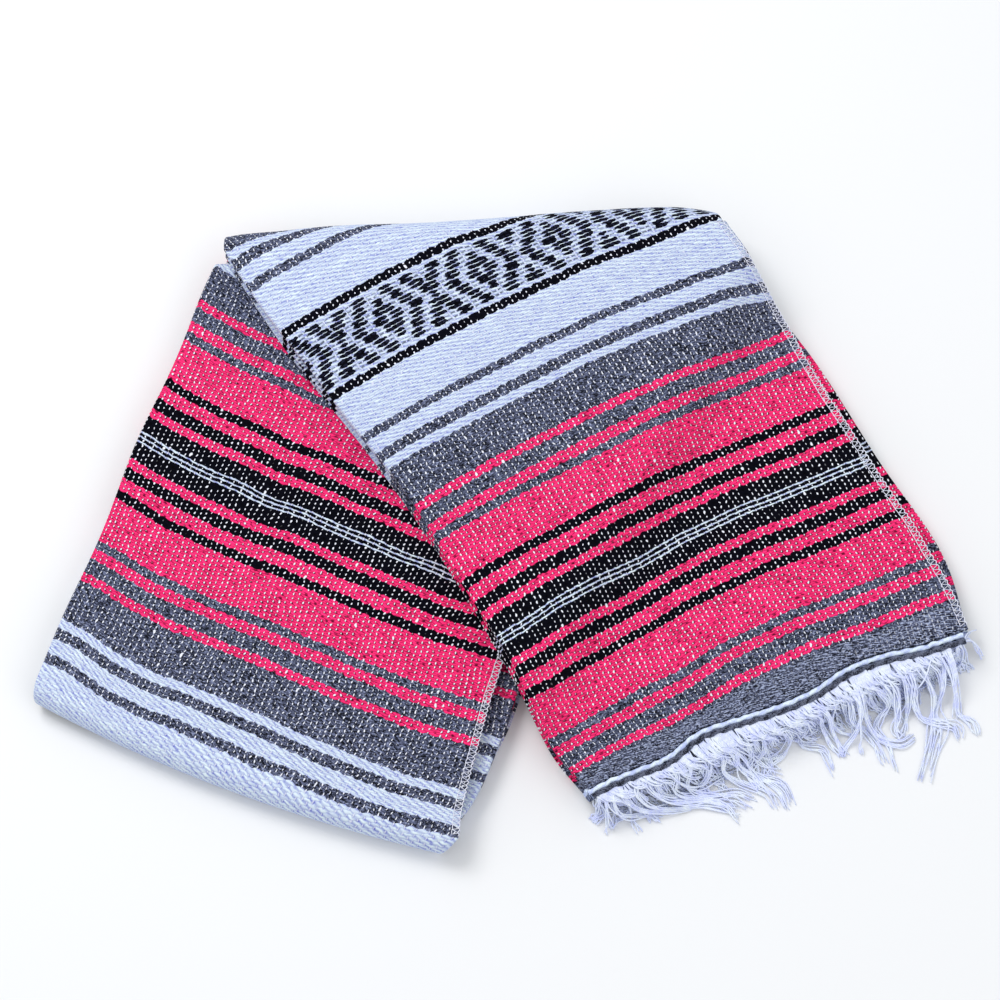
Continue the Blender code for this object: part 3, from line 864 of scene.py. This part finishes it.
def striped(cloth):
    """The yarn's colour by stripe, read at the pick's middle, and whether it is heathered."""
    folded = cloth.pick.math("PINGPONG", float(BAND_PICK))
    stops = [(max(row.first - 0.6, 0) / BAND_PICK, row.yarn) for row in STRIPES]
    yarn = cloth.bands(folded / BAND_PICK, stops)
    heather = cloth.bands(folded / BAND_PICK, stops, output=1)
    thin = (folded < 2.5) * (abs(cloth.off_pick) > THIN_LINE)
    return cloth.mix(thin, yarn, BLACK), heather


def lozenge_band(cloth, yarn):
    """The band of lozenges, charted as on the loom: black picks between white ones."""
    from_middle = BAND_PICK - cloth.t.math("PINGPONG", float(BAND_PICK))
    black_pick = (from_middle / 2).math("FLOOR") * 2 + 1
    row = ((black_pick + 1) / 4).math("FLOOR")
    from_lozenge = cloth.x - LOZENGE_START / WARP
    warps = abs(from_lozenge - float(LOZENGES[0]))
    for lozenge in LOZENGES[1:]:
        warps = warps.math("MINIMUM", abs(from_lozenge - float(lozenge)))

    # where the picks crowd, the floats swell and lean against each other
    crowd = cloth.grain(cloth.u * 90, cloth.v * 160, 12)
    crowd = cloth.grow(crowd + 0.07 * (cloth.t > BAND_PICK), 0.5, 0.64)
    middle = black_pick + (0.02 + 0.24 * crowd) * (row * 4.0 - black_pick)
    sheared = (cloth.t + 0.3 * (cloth.x - cloth.warp)).math("PINGPONG", float(BAND_PICK))
    off_black = (BAND_PICK - sheared - middle) / (FLOAT_WIDTH + 0.3 * crowd)
    off_float = (((warps + row + 0.45) % 4.0) - 2.0) / FLOAT_HALF
    charted = black_pick < 13.5
    floats = ((abs(off_float * off_float * off_float) + off_black * off_black) < 1.0) * charted
    yarn = cloth.mix(floats, yarn, BLACK)
    between_warps = abs(cloth.x - cloth.warp) > 0.15
    under_white = (abs(from_middle - middle) < 0.36) * charted * between_warps
    return cloth.mix(under_white * (0.8 - 0.4 * crowd), yarn, UNDER_WHITE), floats


def warp_dots(cloth, heather, floats):
    """The warp's dots, on every second pick and each a little different, and the painted shadow beside
    each.
    """
    dot_pick = ((cloth.t - cloth.warp) / 2).math("ROUND") * 2 + cloth.warp
    chance = cloth.hash(cloth.combine(cloth.warp, dot_pick, 2.0))
    chance_two = cloth.hash(cloth.combine(cloth.warp, dot_pick, 9.0))
    size = 0.62 + 0.42 * chance + 0.6 * cloth.grow(chance_two, 0.98, 0.99)
    dx = (cloth.x - cloth.warp) * (WARP / MM) + (chance_two - 0.5) * 0.5
    dy = (cloth.t - dot_pick) * (PICK / MM)
    lean = (dx - dy * 0.12) / (0.56 - 0.1 * heather)
    long = dy / (1.02 + 0.2 * heather)
    far = (lean * lean + long * long).math("SQRT")
    dot = (1 - cloth.grow(far / size, 0.8, 1.15)) * cloth.grow(chance, 0.04, 0.12)
    # painted shadow, set off to one side of each dot
    beside = ((dx - 0.3) * (dx - 0.3) + (dy + 0.35) * (dy + 0.35)).math("SQRT")
    painted_dot_shadow = (1 - cloth.grow(beside, 0.7, 1.5)) * (0.35 + 0.65 * chance_two)
    shown = cloth.woven.math("MAXIMUM", 0.5 * cloth.grow(cloth.u, 0.2, 0.31))
    return dot * (1 - floats) * (0.15 + 0.85 * shown), painted_dot_shadow


def woven_stripes():
    """Plain weave: thick soft weft in stripes, with the white warp showing as dots."""
    cloth = WovenCloth()
    u, v, t, pick, lift, off_pick = cloth.u, cloth.v, cloth.t, cloth.pick, cloth.lift, cloth.off_pick
    woven = cloth.woven
    yarn, heather = striped(cloth)
    yarn, floats = lozenge_band(cloth, yarn)
    dot, painted_dot_shadow = warp_dots(cloth, heather, floats)
    pink = cloth.grow(cloth.split(yarn, 0) - cloth.split(yarn, 1), 0.2, 0.5)
    white = cloth.grow(cloth.split(yarn, 1), 0.2, 0.5)

    # painted shade in the gaps round each float, painted highlight and shade across its slanted middle
    # and edges, and the fibres' grain at several sizes
    edge = abs(off_pick) / (0.26 + 0.48 * lift)
    painted_gap_shade = cloth.grow(edge, 0.5, 1.08) * (0.55 + 0.45 * cloth.grow(1 - lift, 0.3, 0.9))
    slant = off_pick + 0.42 * (((cloth.x + pick) % 2.0) - 1)
    # painted highlight along each float's slanted middle and painted shade at its edges
    slanted_float_shade = cloth.grow(abs(slant) / (0.2 + 0.4 * lift), 0.3, 1.15) - 0.5
    twist = cloth.grain(u * 420 + off_pick * 1.1, pick * 5.3, 1) - 0.5
    fibre = cloth.grain(u * 210, pick * 3.1 + off_pick * 0.8, 3, 2.0, 0.6) - 0.5
    fleck = cloth.grain(u * 620, v * 900, 5) - 0.5
    patchy = cloth.grain(u * 60, v * 90, 8) - 0.5
    streak = cloth.grain(u * 110, t * 1.7 + u * 200, 4) - 0.5
    strand = cloth.grain(u * 170, v * 1300 + u * 260, 6) - 0.5
    tint = cloth.hash(cloth.combine(pick, 0.5, 7.0)) - 0.5

    # brightness: painted shade from the gaps and beside the dots, with random tone from the grain
    plain = 1.3 - 0.24 * white - 0.03 * pink
    plain = plain - (1.05 - 0.75 * white + 0.35 * pink) * painted_gap_shade - (0.7 - 0.4 * white + 0.3 * pink) * painted_dot_shadow
    plain = plain + 1.5 * (1 - white) * twist + white * (1.1 * streak - 0.38 * slanted_float_shade)
    plain = plain + (0.9 - 0.8 * white) * fibre + (0.8 - 0.7 * white) * fleck
    plain = plain + (0.7 - 0.5 * white) * patchy + 0.12 * tint
    heathered = 1.5 - 1.7 * painted_gap_shade - 1.1 * painted_dot_shadow + 6.5 * fibre + 5.0 * fleck + 4.5 * twist + 0.8 * patchy
    streaky = 1.45 + 10.0 * strand + 5.0 * fleck + 2.5 * patchy
    heathered = heathered * woven + streaky * (1 - woven)
    level = (plain * (1 - heather) + heathered * heather).math("MAXIMUM", 0.12)
    # painted shade on white yarn keeps its blue, so it reads lavender
    lavender_shade_blue = level + (1 - level) * 0.62 * white
    colour = cloth.node(
        "ShaderNodeVectorMath", {"operation": "MULTIPLY"},
        (yarn, cloth.combine(level, level, lavender_shade_blue)))

    # pale fibres in the heathered yarn, and the warp's dots on top
    light = 0.3 * fleck + 0.6 * fibre + 0.55 - 0.04 * woven
    light = light.math("MAXIMUM", fleck + 0.5 * fibre + 0.48)
    light = light.math("MAXIMUM", (0.55 + strand + 0.7 * fleck) * (1 - woven))
    fibres = cloth.grow(light, 0.58, 0.72) * heather * (0.8 - 0.18 * woven)
    colour = cloth.mix(fibres, colour, PALE_FIBRE)
    colour = cloth.mix(dot * (0.97 - 0.4 * white), colour, WARP_DOT)

    height = 0.45 * (1 - cloth.grow(edge, 0.0, 1.15)) * (0.35 + 0.65 * lift)
    height = height + 0.3 * dot + 0.14 * fibre + 0.3 * twist
    cloth.relief(height, 0.9, 1.0 * MM)
    cloth.link(colour, "Base Color")
    cloth.fix({"Roughness": 0.92, "Specular IOR Level": 0.06})
    return cloth.material


def twisted_yarn(name, pale, shade_and_dark_fibre, turns, plied, grain):
    """Soft plied yarn, its UV running round it and along it, metres; turns are to the metre."""
    yarn = Finish(name)
    weave = yarn.node("ShaderNodeUVMap", {"uv_map": "weave"})
    around, along = yarn.split(weave, 0), yarn.split(weave, 1)
    spot = yarn.node("ShaderNodeTexCoord", None, (), output=3)
    shifted = yarn.noise(spot, 400.0, 1.0)
    # the plies' twist: painted shade in the grooves between them, also used as relief
    plies = ((around * 2 + along * turns + shifted) * math.tau).math("SINE") * 0.5 + 0.5
    fuzz = yarn.noise(spot, 1300.0, 2.0, 0.6)
    cloudy = yarn.noise(spot, 130.0, 2.0, 0.6)
    share = 0.5 + plied * (plies - 0.5) + grain * (fuzz - 0.5) + 1.2 * (cloudy - 0.5)
    # toward the darker tone: painted shade in the grooves and random tone from the grain; on the grey
    # heading yarn it also gives its dark fibres
    tone = yarn.mix(yarn.grow(share, 0.1, 0.9), shade_and_dark_fibre, pale)
    yarn.relief(plied * plies + 0.5 * grain * fuzz, 0.6, 0.4 * MM)
    yarn.link(tone, "Base Color")
    yarn.fix({"Roughness": 0.9, "Specular IOR Level": 0.1})
    yarn.fix({"Sheen Weight": FUZZ, "Sheen Roughness": 0.4, "Sheen Tint": RIM_LIGHT})
    return yarn.material


# ---- yarns: tubes along paths ----
def lay_tube(mesh, weave, path, radii, sides=YARN_SIDES, twist=0.0):
    """One yarn along a path, closed at both ends, with UVs round it and along it.

    A cord with twist, in turns to the metre, has the outline of two plies laid round each other.
    """
    up = Vector((0, 0, 1))
    loops, runs = [], []
    run = 0.0
    for k, point in enumerate(path):
        ahead = path[min(k + 1, len(path) - 1)] - path[max(k - 1, 0)]
        ahead = ahead.normalized() if ahead.length else Vector((1, 0, 0))
        side = ahead.cross(up)
        side = side.normalized() if side.length > 1e-6 else Vector((0, 1, 0))
        over = side.cross(ahead).normalized()
        if k:
            run += (point - path[k - 1]).length
        runs.append(run)
        ring = []
        for n in range(sides):
            angle = math.tau * n / sides
            spot = side * math.cos(angle) + over * math.sin(angle)
            waist = PLY_WAIST * math.cos(2 * (angle - math.tau * twist * run)) if twist else 0.0
            ring.append(mesh.verts.new(point + spot * radii[k] * (1 + waist)))
        loops.append(ring)
    for k, (here, there) in enumerate(zip(loops, loops[1:])):
        for n in range(sides):
            m = (n + 1) % sides
            face = mesh.faces.new((here[n], there[n], there[m], here[m]))
            face.smooth = True
            rounds = (n / sides, n / sides, (n + 1) / sides, (n + 1) / sides)
            lengths = (runs[k], runs[k + 1], runs[k + 1], runs[k])
            for loop, around, along in zip(face.loops, rounds, lengths):
                loop[weave].uv = (around, along)
    for ring, order in ((loops[0], 1), (loops[-1], -1)):
        mesh.faces.new(ring[::order])


def new_yarns():
    mesh = bmesh.new()
    return mesh, mesh.loops.layers.uv.new("weave")


def hem_spot(across, along, depth):
    """A point at the upper hem, past the cloth's last weft, following the hem's waves."""
    along = along - hem_wave(across)
    plan = UPPER.plan(across, along)
    return Vector((plan.x, plan.y, STACK - depth + UPPER.swell(across, along) * (1 - depth / STACK)))


def heading_cord(cord):
    """One cord of the heading on every second ply, twined along the hem and just past its ends.

    Under the top one they lie a little further back.
    """
    mesh, weave = new_yarns()
    for ply in range(0, PLIES, 2):
        back = 0.0 if ply == 0 else 2.5 * MM + 0.4 * MM * ply
        path, radii = [], []
        for k in range(CORD_STEPS + 1):
            across = -0.004 + 1.008 * k / CORD_STEPS
            shake = 0.9 * MM * noise.noise(Vector((across * 60, ply, 2.0 + cord.seed)))
            depth = ply * PLY + cord.radius * 0.75
            path.append(hem_spot(across, cord.along + back + shake, depth))
            radii.append(cord.radius * (1 + 0.12 * noise.noise(Vector((across * 110, ply, 7.0)))))
        lay_tube(mesh, weave, path, radii, CORD_SIDES, CORD_TWIST)
    return add_piece(cord.name, mesh)


def hem_frame():
    """The hem's left end, the way along it and the way out past it, on the floor."""
    left, right = UPPER.ends(0.0)
    weft = (right - left).normalized()
    return left, weft, -left_of(weft)


def short_bundle(middle, chance, share):
    """A few short ends between the bundles, bending over by the heading, and their width."""
    lean, length = spline(FRINGE_LAY, middle)
    lean = math.radians(lean + chance.gauss(0, 18))
    length *= share * chance.uniform(0.6, 1.3)
    curve = chance.gauss(0, 0.35)
    along, out = middle * HEM_LENGTH / MM, 3.0
    path = [(along, out)]
    turn = 0.6 * lean  # the way it takes at first, which comes round to its lean
    for _ in range(5):
        along += length / 5 * math.sin(turn)
        out += length / 5 * math.cos(turn)
        turn += 0.3 * (lean - turn) + curve
        path.append((along, out))
    return Bundle(chance.choice((3, 4, 5)), path), chance.uniform(2.5, 5)


def matted_bundle(middle, chance):
    """A few yarns that lie along the heading, on top, before they hang, and their width."""
    along, out = middle * HEM_LENGTH / MM, 2.0
    length = chance.uniform(9, 26)
    low = chance.uniform(5.0, 10.0)
    path = [(along, out), (along + 0.22 * length, 0.7 * low), (along + 0.5 * length, low)]
    path.append((along + 0.8 * length, low + chance.uniform(-1.5, 3)))
    path.append((along + chance.uniform(0.8, 1.1) * length, low + chance.uniform(2, 7)))
    return Bundle(chance.choice((3, 4, 5)), path), chance.uniform(2.5, 4.5)


def lay_bundle(mesh, weave, bundle, wide, depths, chance, fall=FALL, pieces=YARN_STEPS):
    """Yarns side by side along a bundle's way, from the hem down onto the floor."""
    corner, weft, away = hem_frame()
    rows = [(k, *place) for k, place in enumerate(bundle.path)]
    last = len(rows) - 1
    pile = chance.uniform(0.2, 4.5)
    for number in range(bundle.yarns):
        beside = ((number + 0.5) / bundle.yarns - 0.5) * wide + chance.gauss(0, 0.5)
        across = min(max((rows[0][1] + beside) * MM / HEM_LENGTH, 0.0), 1.0)
        start = hem_spot(across, 1.6 * MM, chance.choice(depths) * PLY + 1.3 * MM)
        # how far it goes, and how it sways in the bundle and rolls over the other yarns
        ends_at = last * (1 + chance.gauss(0, 0.035))
        sway, phase = chance.gauss(0, 1.1), chance.uniform(0, 6)
        lift, roll = chance.uniform(0, 1.4), chance.uniform(0, 6)
        path, radii = [], []
        for k in range(pieces + 1):
            s = ends_at * k / pieces
            along, out = spline(rows, s)
            before, ahead = spline(rows, s - 0.05), spline(rows, s + 0.05)
            way = Vector((ahead[0] - before[0], ahead[1] - before[1])).normalized()
            side = beside * math.cos(0.5 * s + 0.3 * phase) ** 2 + 0.35 * beside
            side += sway * math.sin(1.9 * s + phase)
            along, out = along + way.y * side, out - way.x * side
            plan = corner + weft * along * MM + away * out * MM
            rest = 0.7 + (pile + lift) * (1 - 0.8 * s / last) + 0.5 * math.sin(2.3 * s + roll)
            height = max(rest * MM, YARN)
            # it comes down from its ply, and sets out from its own place in the heading
            if s < fall:
                height += (start.z - height) * (1 - smoothstep(s / fall))
            if s < 0.8:
                plan = Vector((start.x, start.y)).lerp(plan, smoothstep(s / 0.8))
            path.append(Vector((plan.x, plan.y, height)))
            radii.append(YARN * (1 - 0.3 * (k / pieces) ** 8))
        lay_tube(mesh, weave, path, radii)


def fringe_yarns(name, bundles, short, matted, share, depths, seed):
    """The warp ends left long past the heading: long bundles with short ends between them.

    They set out from the plies at these depths, and share is how long the short ends are.
    """
    chance = random.Random(seed)
    mesh, weave = new_yarns()
    for bundle in bundles:
        lay_bundle(mesh, weave, bundle, BUNDLE_ROOM * bundle.yarns, depths, chance)
    for number in range(short):
        middle = (number + chance.uniform(0.1, 0.9)) / short
        bundle, wide = short_bundle(middle, chance, share)
        lay_bundle(mesh, weave, bundle, wide, depths, chance)
    for _ in range(matted):
        middle = 0.94 * chance.random() ** 1.25
        bundle, wide = matted_bundle(middle, chance)
        lay_bundle(mesh, weave, bundle, wide, depths, chance, MATTED_FALL, MATTED_STEPS)
    return add_piece(name, mesh)


def overlock(mesh, weave, spot, places, chance):
    """Overlock stitching along an edge: a straight needle line, loops over the edge, zigzag."""
    start, end = places
    count = int((end - start) / STITCH)
    needle, looper = [], []
    for k in range(count * 4 + 1):
        along = start + (end - start) * k / (count * 4)
        shake = 0.25 * MM * chance.uniform(-1, 1)
        loop = 0.5 * MM * math.sin(k / 4 * math.tau)
        needle.append(spot(along, -STITCH_WIDTH + shake, 0.35 * MM))
        looper.append(spot(along, -0.3 * MM + loop + shake, 0.3 * MM))
    threads = [(needle, 0.3 * MM), (looper, 0.36 * MM)]
    for k in range(2 * count):
        first, last = (-STITCH_WIDTH, STITCH_RIM) if k % 2 == 0 else (STITCH_RIM, -STITCH_WIDTH)
        link = []
        for share in steps(5):
            along = start + (end - start) * (k + share) / (2 * count)
            link.append(spot(along, first + (last - first) * share, 0.45 * MM))
        threads.append((link, 0.24 * MM))
    for path, radius in threads:
        lay_tube(mesh, weave, path, [radius] * len(path), THREAD_SIDES)


def edge_spots(row_kind, start, end):
    """Gives points by a stretch's right edge: how far along it, out past it and above it."""
    def spot(along, out, lift):
        row = row_kind(min(max((along - start) / (end - start), 0.0), 0.999))
        point = row.point(1.0, row.stretch.reach(1, 0, along) + out, 0.0)
        point.z += lift + rumple(point, 0.0)
        return point
    return spot


def edge_stitching():
    """The overlocked selvages of both stretches."""
    chance = random.Random(SEED)
    mesh, weave = new_yarns()
    upper = edge_spots(HemRow, hem_start(1.0), UPPER.meets_fold(1.0))
    lower = edge_spots(LowerRow, NOSE, LOWER.meets_fold(1.0, SEAM))
    overlock(mesh, weave, upper, UPPER_STITCHED, chance)
    overlock(mesh, weave, lower, LOWER_STITCHED, chance)
    return add_piece("edge_stitching", mesh)


# ---- putting the plies together ----
def hem_rows(count, turns):
    """Rows from the upper hem to the mitre fold, and round its roll."""
    rows = [HemRow(share) for share in steps(count)]
    return rows + [RollRow(math.pi * share) for share in steps(turns)[1:]]


def lower_rows(count, turns):
    """Rows along the lower stretch's underside to its end fold, round it, and back on top."""
    rows = [SoleRow(1 - share) for share in steps(SOLE_ROWS)[:-1]]
    rows += [NoseRow(math.pi * (1 - share)) for share in steps(turns)[:-1]]
    return rows + [LowerRow(share) for share in steps(count)]


def top_cloth(name, rows):
    return thicken(lay_cloth(name, rows, face_spots, flip=True))


def edge_plies(name, rows, folded, cut, lag):
    """The plies under a top one: the edges of the folded ones, by side and lip, and the cut ones."""
    pieces = []
    for side, number in folded:
        lip = LIPS[side][number]
        pieces.append(lay_cloth(
            "folded", rows,
            lambda row: fold_spots(side, row.reach(side, number), lip.first, lip.last),
            shift=lag if side > 0 else 0.0, flip=side < 0, rumpled=False))
    for number, first in cut:
        pieces.append(lay_cloth(
            "cut", rows, lambda row: selvage_spots(row.reach(1, number), first),
            shift=lag, rumpled=False))
    return join(name, [thicken(piece) for piece in pieces])


def upper_sole():
    """The underside of the upper stretch, hidden on the lower one and resting on the floor."""
    spots = [Spot(share, 0.0, STACK, STRIP_WIDTH * share) for share in steps(SOLE_COLUMNS)]
    rows = [HemRow(share) for share in steps(UPPER_SOLE_ROWS)]
    return thicken(lay_cloth("upper_sole", rows, lambda row: spots, flip=True, rumpled=False))


def dress(piece, material, slot, *nodes):
    """Gives a piece its material and its body, and hides the CAD nodes it stands for; slot is not
    used.
    """
    piece.data.materials.clear()
    piece.data.materials.append(material)
    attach(piece, "root")
    if nodes:
        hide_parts(*nodes)
    return piece


def build():
    stripes = woven_stripes()
    fringe = twisted_yarn(
        "fringe_yarn", pale=paint(246, 252, 255), shade_and_dark_fibre=paint(212, 218, 255),
        turns=300.0, plied=0.3, grain=0.4)
    white = twisted_yarn(
        "white_cord_yarn", pale=paint(236, 249, 255), shade_and_dark_fibre=paint(186, 198, 240),
        turns=-2 * CORD_TWIST, plied=0.4, grain=1.1)
    grey = twisted_yarn(
        "heading_yarn", pale=paint(106, 111, 130), shade_and_dark_fibre=paint(14, 14, 24),
        turns=-2 * CORD_TWIST, plied=0.5, grain=3.4)
    thread = twisted_yarn(
        "stitching_thread", pale=paint(250, 251, 255), shade_and_dark_fibre=paint(224, 224, 244),
        turns=500.0, plied=0.4, grain=0.5)

    top = top_cloth("upper_cloth", hem_rows(TOP_ROWS, UPPER_TURNS))
    plies = edge_plies(
        "upper_plies", hem_rows(EDGE_ROWS, EDGE_TURNS),
        ((-1, 1), (-1, 2), (-1, 3), (1, 1), (1, 3)), ((2, 3), (2, 4), (4, 7)), UPPER_LAG)
    sole = upper_sole()
    under = top_cloth("lower_cloth", lower_rows(TOP_ROWS, LOWER_TURNS))
    under_plies = edge_plies(
        "lower_plies", lower_rows(EDGE_ROWS, EDGE_TURNS), ((-1, 1), (1, 1)), ((2, 3),), LOWER_LAG)
    dress(top, stripes, "woven_stripes", "upper_stretch")
    dress(under, stripes, "woven_stripes", "lower_stretch")
    for piece in (plies, sole, under_plies):
        dress(piece, stripes, "woven_stripes")

    white_cord = dress(heading_cord(WHITE_CORD), white, "fringe_yarn")
    grey_cord = dress(heading_cord(GREY_CORD), grey, "fringe_yarn")
    tails = fringe_yarns(
        "upper_fringe_yarns", BUNDLES, short=84, matted=110, share=1.0, depths=(0, 0, 0, 1), seed=SEED)
    under_tails = fringe_yarns(
        "lower_fringe_yarns", (), short=80, matted=0, share=0.8, depths=(2, 3, 4, 6), seed=SEED + 1)
    tails = dress(tails, fringe, "fringe_yarn", "upper_fringe")
    under_tails = dress(under_tails, fringe, "fringe_yarn", "lower_fringe")
    stitches = dress(edge_stitching(), thread, "edge_stitching")


# ---- floor, light and camera ----
FLOOR_SIZE = 8.0
FLOOR_SHADE = (0.86, 0.86, 0.86, 1)
SKY = (0.93, 0.96, 1.0, 1)
SKY_STRENGTH = 0.76
Lamp = namedtuple("Lamp", "name place size power")
LAMPS = (Lamp("key", (-1.1, 1.0, 1.9), 1.2, 28), Lamp("fill", (1.6, -1.2, 1.8), 2.0, 11))
CAMERA_PLACE = (-0.0054, -0.7605, 1.8426)
CAMERA_TILT = 23  # degrees from straight down
FOCAL_LENGTH = 95.04  # millimetres, as the sensor's width
SENSOR_WIDTH = 36.0


def studio():
    bpy.ops.object.select_all(action="DESELECT")
    bpy.ops.mesh.primitive_plane_add(size=FLOOR_SIZE, location=(0, 0, 0))
    floor = bpy.context.active_object
    floor.name = "floor"
    plain = Finish("pale_floor")
    plain.fix({"Base Color": FLOOR_SHADE, "Roughness": 0.8})
    floor.data.materials.append(plain.material)
    floor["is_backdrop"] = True

    world = bpy.data.worlds.new("studio") if not bpy.data.worlds else bpy.data.worlds[0]
    bpy.context.scene.world = world
    world.use_nodes = True
    sky = world.node_tree.nodes["Background"]
    sky.inputs["Color"].default_value = SKY
    sky.inputs["Strength"].default_value = SKY_STRENGTH

    for lamp in LAMPS:
        light = bpy.data.lights.new(lamp.name, "AREA")
        light.size = lamp.size
        light.energy = lamp.power
        holder = bpy.data.objects.new(lamp.name, light)
        holder.location = lamp.place
        holder.rotation_euler = (-Vector(lamp.place)).to_track_quat("-Z", "Y").to_euler()
        bpy.context.scene.collection.objects.link(holder)


def camera():
    eye = bpy.data.cameras.new("camera")
    eye.sensor_width = SENSOR_WIDTH
    eye.lens = FOCAL_LENGTH
    eye.clip_start, eye.clip_end = 0.05, 50.0
    holder = bpy.data.objects.new("camera", eye)
    holder.location = CAMERA_PLACE
    holder.rotation_euler = (math.radians(CAMERA_TILT), 0, 0)
    bpy.context.scene.collection.objects.link(holder)
    bpy.context.scene.camera = holder


build()
studio()
camera()
bpy.context.scene.view_settings.view_transform = "Standard"

boxes = {"cad": CAD_BOX, "visual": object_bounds()}
{key: [list(corner) for corner in box] for key, box in boxes.items()}
